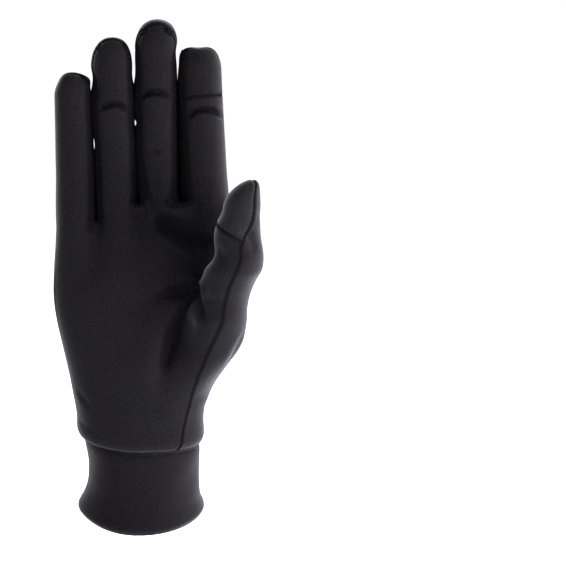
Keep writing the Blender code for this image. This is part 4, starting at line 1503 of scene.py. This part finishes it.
    def find_seams(self) -> None:
        """Find the seams and how far each point near one is from it, along the surface."""
        beside = self.edges()
        kinds = {edge: self.seam_kind(edge, faces) for edge, faces in beside.items()}
        self.seams = {edge: kind for edge, kind in kinds.items() if kind is not SeamKind.NONE}
        around = linked(beside)
        ends = linked(self.seams)
        distance = np.full(len(self.points), self.seam_reach * 2.0)
        source = np.full(len(self.points), -1)
        queue = []
        for start in ends:
            distance[start] = 0.0
            source[start] = start
            heapq.heappush(queue, (0.0, start))
        while queue:
            far, here = heapq.heappop(queue)
            if far > distance[here] or far > self.seam_reach:
                continue
            for there in around[here]:
                further = far + float(np.linalg.norm(self.points[there] - self.points[here]))
                if further < distance[there]:
                    distance[there] = further
                    source[there] = source[here]
                    heapq.heappush(queue, (further, there))
        for here in np.flatnonzero(source >= 0):
            start = self.points[source[here]]
            offset = self.points[here] - start
            for other in ends[int(source[here])]:
                along = self.points[other] - start
                share = np.clip(offset @ along / (along @ along), 0.0, 1.0)
                distance[here] = min(distance[here], np.linalg.norm(offset - along * share))
        self.seam_distance = np.minimum(distance, self.seam_reach)

    def sink_seams(self) -> None:
        """Draw the fabric in at the seams, with a low welt on both sides."""
        far = self.seam_distance
        groove = self.seam_groove * np.exp(-((far / self.groove_width) ** 2))
        welt = self.seam_welt * np.exp(-(((far - self.welt_place) / self.welt_width) ** 2))
        self.points = self.points - self.normals() * (groove - welt)[:, None]

    def seam_paths(self, kind: SeamKind) -> List[np.ndarray]:
        """Chain the edges of one kind of seam into lines.

        Args:
            kind: The kind of seam.

        Returns:
            Lists of point numbers.
        """
        links = linked(edge for edge, own in self.seams.items() if own is kind)
        used = set()
        paths = []
        ordered = sorted(links, key=lambda corner: (len(links[corner]) == 2, corner))
        for start in ordered:
            for following in links[start]:
                if (start, following) in used:
                    continue
                path = [start]
                before, here = start, following
                while True:
                    used.update(((before, here), (here, before)))
                    path.append(here)
                    onward = [other for other in links[here] if (here, other) not in used]
                    if len(links[here]) != 2 or not onward:
                        break
                    before, here = here, onward[0]
                paths.append(np.array(path))
        return paths

    def wrist_ring(self) -> np.ndarray:
        """Points of the lower border, sorted by their angle round the wrist."""
        path = np.unique(np.concatenate(self.seam_paths(SeamKind.WRIST)))
        ring = self.points[path]
        return ring[np.argsort(np.arctan2(ring[:, 0] - Cuff.middle_x, -ring[:, 1]))]


class Socket:
    """A shader socket; expressions on it add Math nodes."""

    def __init__(self, tree: "Tree", socket: Any) -> None:
        """Keep the socket and the tree that it is in."""
        self.tree = tree
        self.socket = socket

    def math(self, operation: str, *others: Any) -> "Socket":
        """Add a Math node on this socket and others."""
        values = dict(enumerate((self, *others)))
        return self.tree.add("ShaderNodeMath", {"operation": operation}, values)

    def __add__(self, other: Any) -> "Socket":
        """Add."""
        return self.math("ADD", other)

    __radd__ = __add__

    def __sub__(self, other: Any) -> "Socket":
        """Subtract."""
        return self.math("SUBTRACT", other)

    def __rsub__(self, other: Any) -> "Socket":
        """Subtract from a number."""
        return self.tree.add("ShaderNodeMath", {"operation": "SUBTRACT"}, {0: other, 1: self})

    def __mul__(self, other: Any) -> "Socket":
        """Multiply."""
        return self.math("MULTIPLY", other)

    __rmul__ = __mul__

    def __truediv__(self, other: Any) -> "Socket":
        """Divide."""
        return self.math("DIVIDE", other)

    def __rtruediv__(self, other: Any) -> "Socket":
        """Divide a number."""
        return self.tree.add("ShaderNodeMath", {"operation": "DIVIDE"}, {0: other, 1: self})

    def __pow__(self, other: Any) -> "Socket":
        """Raise to a power."""
        return self.math("POWER", other)

    def fract(self) -> "Socket":
        """Part after the decimal point."""
        return self.math("FRACT")

    def size(self) -> "Socket":
        """Value without its sign."""
        return self.math("ABSOLUTE")

    def sine(self) -> "Socket":
        """Sine."""
        return self.math("SINE")

    def exponent(self) -> "Socket":
        """Power of e."""
        return self.math("EXPONENT")


def add_node(
    tree: bpy.types.NodeTree, kind: str, settings: Dict[str, Any], inputs: Dict[Any, Any]
) -> bpy.types.Node:
    """Add a node to a tree.

    Args:
        tree: The tree.
        kind: The node's type.
        settings: Its own settings, set before its sockets.
        inputs: Values or sockets by the input's name or number.

    Returns:
        The node.
    """
    node = tree.nodes.new(kind)
    for name, value in settings.items():
        setattr(node, name, value)
    for name, value in inputs.items():
        value = value.socket if isinstance(value, Socket) else value
        if isinstance(value, bpy.types.NodeSocket):
            tree.links.new(value, node.inputs[name])
        else:
            node.inputs[name].default_value = value
    return node


class Tree:
    """The nodes of one material."""

    def __init__(self, name: str) -> None:
        """Make the material with an empty tree."""
        self.material = bpy.data.materials.new(name)
        self.material.use_nodes = True
        self.material.node_tree.nodes.clear()

    def node(self, kind: str, settings: Dict[str, Any], inputs: Dict[Any, Any]) -> bpy.types.Node:
        """Add a node and give the node itself."""
        return add_node(self.material.node_tree, kind, settings, inputs)

    def add(self, kind: str, settings: Dict[str, Any], inputs: Dict[Any, Any], output: Any = 0) -> Socket:
        """Add a node and give one of its outputs, by name or number."""
        return Socket(self, self.node(kind, settings, inputs).outputs[output])

    def blend(self, first: Any, second: Any, share: Any, how: str = "MIX") -> Socket:
        """Blend two colours."""
        settings = {"data_type": "RGBA", "blend_type": how}
        return self.add("ShaderNodeMix", settings, {0: share, 6: first, 7: second}, 2)

    def noise(self, where: Socket, scale: float, detail: float, roughness: float = 0.5) -> Socket:
        """Add a cloudy noise at a place."""
        inputs = {"Vector": where, "Scale": scale, "Detail": detail, "Roughness": roughness}
        return self.add("ShaderNodeTexNoise", {}, inputs)

    def ramp(self, value: Socket, source: Tuple[float, float], top: float) -> Socket:
        """Map a range of values to 0 and up to a top."""
        inputs = {0: value, 1: source[0], 2: source[1], 3: 0.0, 4: top}
        return self.add("ShaderNodeMapRange", {}, inputs)

    def finish(self, shader: Socket) -> bpy.types.Material:
        """Close the tree with its surface and give the material."""
        self.node("ShaderNodeOutputMaterial", {}, {"Surface": shader})
        return self.material


def scaled(colour: Colour, factor: float) -> Colour:
    """A colour made lighter or darker."""
    red, green, blue, _ = colour
    return (factor * red, factor * green, factor * blue, 1.0)


@dataclass(frozen=True)
class KnitFinish:
    """A fine jersey: columns of loops, a soft nap, darker seams, and painted shade that darkens it and
    takes its sheen away.
    """

    name: str
    colour: Colour
    shade: Colour
    roughness: float
    sheen: float
    wale: float = 0.62
    course: float = 0.50
    loop_height: float = 0.045
    grain: float = 0.05
    seam_and_painted_shade_colour: Colour = (0.0035, 0.0035, 0.004, 1.0)
    seam_width: float = 0.62
    edge_width: float = 1.0
    seam_sink: float = 0.08
    column_power: float = 4.0
    nap_pitch: Tuple[float, float] = (0.50, 0.80)
    nap_roughness: float = 0.75
    cloud_scale: float = 70.0
    crumple_scale: float = 190.0
    crumple_height: float = 0.06
    fleck_gain: float = 4.0
    fleck_range: Tuple[float, float] = (0.46, 0.74)
    fleck_share: float = 0.75
    painted_shade_sheen_range: Tuple[float, float] = (0.02, 0.14)
    gloss: float = 0.04
    sheen_roughness: float = 0.35
    sheen_tint: Colour = (0.9, 0.9, 1.0, 1.0)

    def make(self) -> bpy.types.Material:
        """Build the material.

        Returns:
            The material.
        """
        tree = Tree(self.name)
        place = tree.add("ShaderNodeUVMap", {"uv_map": "knit"}, {})
        parts = tree.node("ShaderNodeSeparateXYZ", {}, {0: place})
        across = Socket(tree, parts.outputs[0]) * (1000.0 / self.wale)
        along = Socket(tree, parts.outputs[1]) * (1000.0 / self.course)
        wale = (across.fract() - 0.5).size() * 2.0
        loop = ((along + wale * 0.5).fract() * math.pi).sine()
        column = 1.0 - wale**self.column_power
        where = tree.add("ShaderNodeTexCoord", {}, {}, "Object")
        threads = {0: across * self.nap_pitch[0], 1: along * self.nap_pitch[1]}
        thread = tree.add("ShaderNodeCombineXYZ", {}, threads)
        nap = tree.noise(thread, 1.0, 4.0, self.nap_roughness)
        cloud = tree.noise(where, self.cloud_scale, 3.0, 0.55)
        crumple = tree.noise(where, self.crumple_scale, 2.0)
        seam = tree.add("ShaderNodeAttribute", {"attribute_name": "seam"}, {}, "Fac")
        line = (0.0 - (seam / self.seam_width) ** 2.0).exponent()
        # Painted shade: the shade attribute, from the folds and from how closely the fabric around closes
        # each point in, darkens the colour towards the dark seam colour.
        fold = tree.add("ShaderNodeAttribute", {"attribute_name": "shade"}, {}, "Fac")
        base = tree.blend(self.shade, self.colour, cloud)
        bright = scaled(self.colour, self.fleck_gain)
        flecks = tree.ramp(nap, self.fleck_range, self.fleck_share)
        speckle = tree.blend(base, bright, flecks)
        with_painted_shade = tree.blend(speckle, self.seam_and_painted_shade_colour, fold)
        colour = tree.blend(with_painted_shade, self.seam_and_painted_shade_colour, line)
        # The sheen is dropped near the seams and, as painted shade, where the shade attribute is high.
        sheen_cut_by_painted_shade = tree.ramp(fold, self.painted_shade_sheen_range, 1.0)
        inner = (0.0 - (seam / self.edge_width) ** 2.0).exponent().math("MAXIMUM", sheen_cut_by_painted_shade)
        height = loop * column * self.loop_height + nap * self.grain
        height = height + crumple * self.crumple_height - line * self.seam_sink
        bump = tree.add("ShaderNodeBump", {}, {"Strength": 1.0, "Distance": MM, "Height": height})
        inputs = {"Base Color": colour, "Roughness": self.roughness, "Normal": bump}
        flat = tree.add("ShaderNodeBsdfPrincipled", {}, {**inputs, "Specular IOR Level": 0.0})
        soft = {
            "Specular IOR Level": self.gloss,
            "Sheen Weight": self.sheen,
            "Sheen Roughness": self.sheen_roughness,
            "Sheen Tint": self.sheen_tint,
        }
        napped = tree.add("ShaderNodeBsdfPrincipled", {}, {**inputs, **soft})
        return tree.finish(tree.add("ShaderNodeMixShader", {}, {0: inner, 1: napped, 2: flat}))


@dataclass(frozen=True)
class ThreadFinish:
    """A twisted sewing thread."""

    name: str
    colour: Colour
    roughness: float = 0.6
    fibre_scale: float = 2500.0
    dark_share: float = 0.5
    bump_strength: float = 0.6
    bump_distance: float = 0.0001
    gloss: float = 0.1

    def make(self) -> bpy.types.Material:
        """Build the material.

        Returns:
            The material.
        """
        tree = Tree(self.name)
        where = tree.add("ShaderNodeTexCoord", {}, {}, "Object")
        fibre = tree.noise(where, self.fibre_scale, 2.0)
        relief = {"Strength": self.bump_strength, "Distance": self.bump_distance, "Height": fibre}
        inputs = {
            "Base Color": tree.blend(scaled(self.colour, self.dark_share), self.colour, fibre),
            "Roughness": self.roughness,
            "Specular IOR Level": self.gloss,
            "Normal": tree.add("ShaderNodeBump", {}, relief),
        }
        return tree.finish(tree.add("ShaderNodeBsdfPrincipled", {}, inputs))


JERSEY = KnitFinish(
    "jersey_knit", (0.0038, 0.0035, 0.0046, 1.0), (0.0021, 0.0020, 0.0027, 1.0), 0.82, 0.29
)
# Painted shade: the strips between the fingers are the same black jersey in a darker copy with less sheen,
# for the shade that lies between the fingers.
SHADED_STRIP_JERSEY = KnitFinish(
    "strip_jersey_painted_shade_knit", (0.0031, 0.0029, 0.0038, 1.0), (0.0019, 0.0018, 0.0024, 1.0), 0.82, 0.24
)
# The touch tips are one fabric in two copies for how the light falls on them: the index tip's copy is the
# darker, painted shade, and the thumb tip's the lighter, painted light.
TOUCH_JERSEY = KnitFinish(
    "touch_jersey_knit", (0.0036, 0.0032, 0.0036, 1.0), (0.0022, 0.0019, 0.0022, 1.0), 0.78, 0.26
)
LIT_TOUCH_JERSEY = KnitFinish(
    "touch_jersey_painted_light_knit", (0.0066, 0.0065, 0.0074, 1.0), (0.0042, 0.0041, 0.0046, 1.0), 0.76, 0.34
)
CUFF_KNIT = KnitFinish(
    "cuff_knit", (0.0034, 0.0030, 0.0040, 1.0), (0.0022, 0.0020, 0.0027, 1.0), 0.84, 0.27
)
BLACK_THREAD = ThreadFinish("black_thread", (0.0026, 0.0025, 0.0029, 1.0))
OLIVE_THREAD = ThreadFinish("olive_thread", (0.0075, 0.0070, 0.0052, 1.0))
FABRICS = {
    Piece.PALM: JERSEY,
    Piece.BACK: JERSEY,
    Piece.RING_LITTLE: SHADED_STRIP_JERSEY,
    Piece.MIDDLE_RING: SHADED_STRIP_JERSEY,
    Piece.INDEX_MIDDLE: SHADED_STRIP_JERSEY,
    Piece.THUMB: JERSEY,
    Piece.INDEX_TIP: TOUCH_JERSEY,
    Piece.THUMB_TIP: LIT_TOUCH_JERSEY,
}


def make_object(name: str, mesh: bpy.types.Mesh, material: bpy.types.Material) -> bpy.types.Object:
    """Put a mesh in the scene at the origin.

    Args:
        name: The piece's name.
        mesh: Its mesh, in metres.
        material: Its finish.

    Returns:
        The object.
    """
    mesh.materials.clear()
    mesh.materials.append(material)
    mesh.shade_smooth()
    mesh.set_sharp_from_angle(angle=SHARP)
    return place_object(name, mesh)


def report(thing: bpy.types.Object) -> None:
    """Log a finished piece."""
    triangles = sum(len(face.vertices) - 2 for face in thing.data.polygons)
    LOG.info("%s: %d triangles", thing.name, triangles)


def array_mesh(
    name: str, points: np.ndarray, quads: np.ndarray, knit: np.ndarray, seam: np.ndarray, shade: np.ndarray
) -> bpy.types.Mesh:
    """Make a mesh of quads.

    Args:
        name: The mesh's name.
        points: Points in millimetres.
        quads: Faces as rows of point numbers.
        knit: Place in the knit of each face's corners.
        seam: Distance of each point from a seam.
        shade: Painted shade of each point, from its folds and from the fabric that closes it in.

    Returns:
        The mesh, in metres.
    """
    mesh = bpy.data.meshes.new(name)
    mesh.from_pydata((points * MM).tolist(), [], quads.tolist())
    layer = mesh.uv_layers.new(name="knit")
    layer.data.foreach_set("uv", knit.ravel())
    for label, values in (("seam", seam), ("shade", shade)):
        layer = mesh.attributes.new(label, "FLOAT", "POINT")
        layer.data.foreach_set("value", values.astype(np.float32))
    mesh.validate()
    return mesh


@dataclass(frozen=True)
class Panels:
    """The cut pieces of fabric above the wrist seam."""

    fabric: float = 0.85

    def panel_mesh(self, surface: Surface, piece: Piece, normals: np.ndarray) -> bpy.types.Mesh:
        """Cut one piece from the surface and give it the fabric's thickness.

        Args:
            surface: The whole outer surface.
            piece: The piece to cut.
            normals: The surface's normals.

        Returns:
            A closed mesh.
        """
        chosen = surface.labels == list(Piece).index(piece)
        quads = surface.quads[chosen]
        knit = surface.knit[chosen]
        used, numbers = np.unique(quads, return_inverse=True)
        outer = numbers.reshape(-1, 4)
        count = len(used)
        points = np.concatenate((surface.points[used], surface.points[used] - normals[used] * self.fabric))
        seam = np.tile(surface.seam_distance[used], 2)
        shade = np.tile(surface.shade[used], 2)
        starts = outer.ravel()
        stops = np.roll(outer, -1, axis=1).ravel()
        places = knit.reshape(-1, 2)
        following = np.roll(knit, -1, axis=1).reshape(-1, 2)
        met = set(zip(starts.tolist(), stops.tolist()))
        border = [k for k, (a, b) in enumerate(zip(starts.tolist(), stops.tolist())) if (b, a) not in met]
        a, b = starts[border], stops[border]
        rim = np.stack((b, a, a + count, b + count), axis=1)
        rim_knit = np.stack((following[border], places[border], places[border], following[border]), axis=1)
        faces = np.concatenate((outer, outer[:, ::-1] + count, rim))
        all_knit = np.concatenate((knit, knit[:, ::-1], rim_knit))
        return array_mesh(piece.value + "_fabric", points, faces, all_knit, seam, shade)

    def build(self, surface: Surface) -> None:
        """Make every panel and let it stand for its solid."""
        normals = surface.normals()
        materials = {finish: finish.make() for finish in dict.fromkeys(FABRICS.values())}
        for piece, finish in FABRICS.items():
            mesh = self.panel_mesh(surface, piece, normals)
            thing = make_object(piece.value + "_fabric", mesh, materials[finish])
            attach(thing, "root")
            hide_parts(piece.value)
            report(thing)


@dataclass(frozen=True)
class Cuff:
    """The doubled band below the wrist seam, with a rounded fold at its mouth."""

    rows: Table = Table(
        CuffRow(0.00, -2.6, 29.8, 24.0),
        CuffRow(0.06, -2.5, 29.8, 23.8),
        CuffRow(0.14, -2.2, 28.7, 22.8),
        CuffRow(0.22, -1.9, 27.3, 21.8),
        CuffRow(0.32, -1.4, 26.4, 20.8),
        CuffRow(0.55, -1.2, 25.9, 19.6),
        CuffRow(0.80, -1.3, 26.5, 18.9),
        CuffRow(1.00, -1.7, 27.3, 18.5),
    )
    middle_x: float = -1.9
    oval: float = 2.15
    fabric: float = 2.0
    sides: int = 144
    heights: int = 48
    fold_steps: int = 6
    shoulder: float = 0.05
    tuck: float = 0.9
    roll_share: float = 0.13
    roll: float = 1.3
    ripple: float = 0.28
    ripple_around: float = 1.6
    ripple_along: float = 2.2
    seam_gap: float = 0.3
    shoulder_rows: int = 6
    shoulder_power: float = 1.25
    inner_step: int = 3
    girth: float = 168.0
    seam_reach: float = 5.0
    dent_climb: float = 40.0
    dent_height: float = 0.25
    dents: Tuple[Tuple[float, float, float, float], ...] = (
        (-66.0, 0.78, 0.7, 20.0),
        (-40.0, 0.30, 0.5, 24.0),
        (58.0, 0.62, 0.6, 22.0),
        (20.0, 0.86, 0.4, 30.0),
        (130.0, 0.55, 0.8, 24.0),
        (-135.0, 0.50, 0.8, 26.0),
    )

    def outline(self, angle: float, share: float, inset: float) -> Point:
        """Point of the cuff's wall at an angle and a share of its height."""
        middle_x, side, depth = self.rows.at(share)
        x = math.sin(angle)
        y = -math.cos(angle)
        norm = oval_norm(x, y, self.oval)
        height = mix(CUFF_MOUTH.at(angle), WRIST_SEAM.at(angle) - self.seam_gap, share)
        inset += self.dent(angle, share)
        under = max(0.0, 1.0 - share / self.roll_share)
        inset += self.roll * (1.0 - math.sqrt(1.0 - under * under))
        return np.array((middle_x + (side - inset) * x / norm, (depth - inset) * y / norm, height))

    def dent(self, angle: float, share: float) -> float:
        """How far the band is pressed in, by soft creases that climb round it."""
        depth = 0.0
        for place, height, size, width in self.dents:
            turned = math.degrees(angle) - place - self.dent_climb * (share - height)
            turned = (turned + 180.0) % 360.0 - 180.0
            rise = (share - height) / self.dent_height
            depth += size * math.exp(-((turned / width) ** 2) - rise * rise)
        x = math.cos(angle) * self.ripple_around
        y = math.sin(angle) * self.ripple_around
        return depth + self.ripple * noise.noise(Vector((x, y, share * self.ripple_along)))

    def profile(self, angle: float, seam: Point) -> Row:
        """Points of one slice, from the wrist seam down, round the mouth and up inside.

        Args:
            angle: Angle of the slice.
            seam: Where the slice meets the hand's fabric.

        Returns:
            The slice's points.
        """
        slice_points = [seam]
        for j in range(1, self.heights + 1):
            power = self.shoulder_power if j < self.shoulder_rows else 1.0
            share = 1.0 - (j / self.heights) ** power
            point = self.outline(angle, share, 0.0)
            tuck = smooth(1.0 - self.shoulder, 1.0, share)
            point = mix(point, np.array((seam[0], seam[1], point[2])), tuck * tuck)
            inward = np.array((self.middle_x - point[0], -point[1], 0.0))
            dip = self.tuck * math.exp(-(((1.0 - share) / self.shoulder) ** 2))
            slice_points.append(point + inward * dip / np.linalg.norm(inward))
        outer = self.outline(angle, 0.0, 0.0)
        inner = self.outline(angle, 0.0, self.fabric)
        middle = (outer + inner) / 2.0
        for k in range(1, self.fold_steps):
            turn = math.pi * k / self.fold_steps
            down = np.array((0.0, 0.0, -self.fabric / 2.0 * math.sin(turn)))
            slice_points.append(middle + (outer - middle) * math.cos(turn) + down)
        for j in range(self.heights // self.inner_step + 1):
            share = self.inner_step * j / self.heights
            slice_points.append(self.outline(angle, share, self.fabric))
        return slice_points

    def build(self, ring: np.ndarray) -> None:
        """Make the cuff, joined to the ring of points of the wrist seam."""
        angles = np.linspace(-math.pi, math.pi, self.sides + 1)[:-1]
        around = np.arctan2(ring[:, 0] - self.middle_x, -ring[:, 1])
        wrapped = np.concatenate((around[-3:] - 2.0 * math.pi, around, around[:3] + 2.0 * math.pi))
        tripled = np.concatenate((ring[-3:], ring, ring[:3]))
        slices = []
        for angle in angles:
            seam = np.array([np.interp(angle, wrapped, tripled[:, k]) for k in range(3)])
            slices.append(self.profile(float(angle), seam))
        points = np.array(slices)
        count, length = points.shape[:2]
        numbers = np.arange(count * length).reshape(count, length)
        low = numbers
        high = np.roll(numbers, -1, axis=0)
        after = np.roll(low, -1, axis=1)
        high_after = np.roll(high, -1, axis=1)
        quads = np.stack((low, after, high_after, high), axis=-1).reshape(-1, 4)
        down = np.cumsum(np.linalg.norm(np.diff(points, axis=1, prepend=points[:, :1]), axis=2), axis=1)
        step = self.girth / count
        turn = np.arange(count)[:, None] * step * np.ones((1, length))
        place = np.stack((turn, -down), axis=-1) * MM
        ahead = place + (step * MM, 0.0)
        later = np.roll(place, -1, axis=1)
        knit = np.stack((place, later, np.roll(ahead, -1, axis=1), ahead), axis=2).reshape(-1, 4, 2)
        seam = np.minimum(down, self.seam_reach).ravel()
        shade = np.zeros(len(seam))
        mesh = array_mesh("cuff_band_fabric", points.reshape(-1, 3), quads, knit, seam, shade)
        solid = bmesh.new()
        solid.from_mesh(mesh)
        bmesh.ops.recalc_face_normals(solid, faces=solid.faces)
        solid.to_mesh(mesh)
        solid.free()
        thing = make_object("cuff_band_fabric", mesh, CUFF_KNIT.make())
        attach(thing, "root")
        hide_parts(Piece.CUFF.value)
        report(thing)


@dataclass(frozen=True)
class Stitching:
    """Rows of short stitches that follow seams, laid by a node tree."""

    name: str
    kind: SeamKind
    thread: ThreadFinish
    offsets: Tuple[float, ...]
    pitch: float = 2.3
    length: float = 1.5
    radius: float = 0.15
    lift: float = 0.02
    shortest: int = 4
    segments: int = 6
    rings: int = 5

    def rows(self, surface: Surface, normals: np.ndarray) -> List[np.ndarray]:
        """Lines of the stitches, beside the seams by the offsets."""
        lines = []
        for path in surface.seam_paths(self.kind):
            if len(path) < self.shortest:
                continue
            points = surface.points[path]
            up = normals[path]
            along = np.gradient(points, axis=0)
            across = np.cross(along, up)
            across /= np.maximum(np.linalg.norm(across, axis=1, keepdims=True), TINY)
            for offset in self.offsets:
                lines.append(points + across * offset + up * self.lift)
        return lines

    def tree(self) -> bpy.types.NodeTree:
        """The node tree that lays one stitch at each step of a curve."""
        group = bpy.data.node_groups.new(self.name + "_tree", "GeometryNodeTree")
        given = {"Seams": "Geometry", "Thread": "Material"}
        given.update({name: "Float" for name in ("Pitch", "Stitch Length", "Thread Radius")})
        for name, kind in given.items():
            group.interface.new_socket(name, in_out="INPUT", socket_type="NodeSocket" + kind)
        group.interface.new_socket("Stitches", in_out="OUTPUT", socket_type="NodeSocketGeometry")

        def add(kind: str, inputs: Dict[Any, Any], **settings: Any) -> Any:
            """Add a node and give its outputs."""
            return add_node(group, kind, settings, inputs).outputs

        start = add("NodeGroupInput", {})
        along = {"Curve": start["Seams"], "Length": start["Pitch"]}
        steps = add("GeometryNodeCurveToPoints", along, mode="LENGTH")
        turn = add("FunctionNodeAlignRotationToVector", {"Vector": steps["Tangent"]}, axis="Z")
        ball = {"Segments": self.segments, "Rings": self.rings, "Radius": 1.0}
        stitch = add("GeometryNodeMeshUVSphere", ball)
        half = add("ShaderNodeMath", {0: start["Stitch Length"], 1: 0.5}, operation="MULTIPLY")
        radius = start["Thread Radius"]
        size = add("ShaderNodeCombineXYZ", {"X": radius, "Y": radius, "Z": half[0]})
        copies = {
            "Points": steps["Points"],
            "Instance": stitch["Mesh"],
            "Rotation": turn["Rotation"],
            "Scale": size["Vector"],
        }
        laid = add("GeometryNodeInstanceOnPoints", copies)
        real = add("GeometryNodeRealizeInstances", {"Geometry": laid["Instances"]})
        dress = {"Geometry": real["Geometry"], "Material": start["Thread"]}
        dressed = add("GeometryNodeSetMaterial", dress)
        add("NodeGroupOutput", {"Stitches": dressed["Geometry"]})
        return group

    def build(self, surface: Surface, normals: np.ndarray) -> None:
        """Lay the stitches along the surface's seams and keep them as a plain mesh."""
        curve = bpy.data.curves.new(self.name + "_lines", "CURVE")
        curve.dimensions = "3D"
        for line in self.rows(surface, normals):
            spline = curve.splines.new("POLY")
            spline.points.add(len(line) - 1)
            flat = np.concatenate((line * MM, np.ones((len(line), 1))), axis=1)
            spline.points.foreach_set("co", flat.ravel())
        lines = place_object(self.name + "_lines", curve)
        modifier = lines.modifiers.new("stitches", "NODES")
        modifier.node_group = self.tree()
        material = self.thread.make()
        values = {
            "Pitch": self.pitch * MM,
            "Stitch Length": self.length * MM,
            "Thread Radius": self.radius * MM,
            "Thread": material,
        }
        for item in modifier.node_group.interface.items_tree:
            if item.in_out == "INPUT" and item.name in values:
                modifier[item.identifier] = values[item.name]
        bpy.context.view_layer.update()
        graph = bpy.context.evaluated_depsgraph_get()
        mesh = bpy.data.meshes.new_from_object(lines.evaluated_get(graph), depsgraph=graph)
        bpy.data.objects.remove(lines, do_unlink=True)
        thing = make_object(self.name, mesh, material)
        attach(thing, "root")
        report(thing)


STITCHING = (
    Stitching("panel_stitching", SeamKind.PANEL, BLACK_THREAD, (0.0,)),
    Stitching("touch_patch_stitching", SeamKind.TOUCH, OLIVE_THREAD, (-0.9, 0.9), pitch=1.7, length=1.15),
    Stitching("wrist_stitching", SeamKind.WRIST, BLACK_THREAD, (0.0,), pitch=2.4, length=1.8),
)


class SoftLight(NamedTuple):
    """A square soft light: its place and size in metres and its power in watts."""

    name: str
    place: Place
    size: float
    power: float


@dataclass(frozen=True)
class Studio:
    """Floor, soft lights and the camera."""

    camera_place: Place = (0.008, -0.75, 0.27)
    yaw: float = math.radians(4.28)
    pitch: float = math.radians(11.88)
    lens: float = 106.28
    sensor: float = 36.0
    clip_start: float = 0.01
    floor_height: float = -0.10
    floor_reach: float = 60.0
    floor_colour: Colour = (0.9, 0.9, 0.9, 1.0)
    floor_roughness: float = 0.9
    light_aim: Place = (0.0, 0.0, 0.13)
    top_aim: Place = (-0.10, -0.15, -1.0)
    top_power: float = 2.9
    top_spread: float = math.radians(30.0)
    sky_strength: float = 0.25
    soft_lights: Tuple[SoftLight, ...] = (
        SoftLight("key_light", (0.80, -0.52, 0.02), 0.5, 23.0),
        SoftLight("fill_light", (-0.30, -0.65, -0.05), 0.4, 4.0),
        SoftLight("left_edge_light", (-0.8, 0.5, 0.25), 0.6, 12.0),
        SoftLight("right_edge_light", (0.8, 0.12, 0.18), 0.6, 24.0),
        SoftLight("tip_light", (0.15, 0.75, 0.65), 0.5, 8.0),
    )

    def floor(self) -> None:
        """A wide pale floor."""
        mesh = bpy.data.meshes.new("floor")
        far = self.floor_reach
        level = self.floor_height
        corners = [(-far, -far, level), (far, -far, level), (far, far, level), (-far, far, level)]
        mesh.from_pydata(corners, [], [(0, 1, 2, 3)])
        tree = Tree("pale_floor")
        inputs = {"Base Color": self.floor_colour, "Roughness": self.floor_roughness}
        material = tree.finish(tree.add("ShaderNodeBsdfPrincipled", {}, inputs))
        mesh.materials.append(material)
        thing = place_object("floor", mesh)

    def lamp(self, data: bpy.types.Light, place: Place, aim: Vector) -> None:
        """Hang a light at a place, turned along a direction."""
        thing = place_object(data.name, data)
        thing.location = place
        thing.rotation_euler = aim.to_track_quat("-Z", "Y").to_euler()

    def area(self, light: SoftLight) -> None:
        """A square soft light that faces the glove."""
        data = bpy.data.lights.new(light.name, "AREA")
        data.shape = "SQUARE"
        data.size = light.size
        data.energy = light.power
        self.lamp(data, light.place, Vector(self.light_aim) - Vector(light.place))

    def top(self) -> None:
        """A wide distant light from above."""
        data = bpy.data.lights.new("top_light", "SUN")
        data.energy = self.top_power
        data.angle = self.top_spread
        self.lamp(data, (0.0, 0.0, 0.0), Vector(self.top_aim))

    def build(self) -> None:
        """Make the whole set."""
        self.floor()
        world = bpy.data.worlds.new("studio")
        world.use_nodes = True
        background = world.node_tree.nodes["Background"]
        background.inputs["Color"].default_value = (1.0, 1.0, 1.0, 1.0)
        background.inputs["Strength"].default_value = self.sky_strength
        bpy.context.scene.world = world
        self.top()
        for light in self.soft_lights:
            self.area(light)
        data = bpy.data.cameras.new("camera")
        data.lens = self.lens
        data.sensor_width = self.sensor
        data.clip_start = self.clip_start
        thing = place_object("camera", data)
        thing.location = self.camera_place
        thing.rotation_euler = (SIDE - self.pitch, 0.0, -self.yaw)
        bpy.context.scene.camera = thing
        bpy.context.scene.view_settings.view_transform = "Standard"


def main() -> None:
    """Build the glove and the studio, and log how many points and triangles the meshes have."""
    logging.basicConfig(level=logging.INFO, format="%(message)s")
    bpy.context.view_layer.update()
    fingers = Fingers()
    hand = Hand()
    skin = Skin()
    first_rows = fingers.add(skin)
    web, thumb_line = hand.add(skin, first_rows, fingers.columns)
    bmesh.ops.recalc_face_normals(skin.mesh, faces=skin.mesh.faces)
    hand.round_web(skin, web)
    surface = Surface.refine(skin)
    surface.dab(DABS)
    surface.relax(thumb_line, radius=13.0, steps=160)
    surface.relax(hand.root_line(), radius=13.0, steps=80)
    surface.relax(BELOW_CROTCHES, radius=11.0, steps=60)
    surface.relax(PALM_VALLEYS, radius=7.0, steps=60)
    surface.close_gaps(GAPS)
    surface.lay_folds(FOLDS)
    surface.find_seams()
    surface.sink_seams()
    surface.find_shelter()
    LOG.info("surface: %d points", len(surface.points))
    Panels().build(surface)
    Cuff().build(surface.wrist_ring())
    normals = surface.normals()
    for stitching in STITCHING:
        stitching.build(surface, normals)
    Studio().build()


if __name__ == "__main__":
    main()
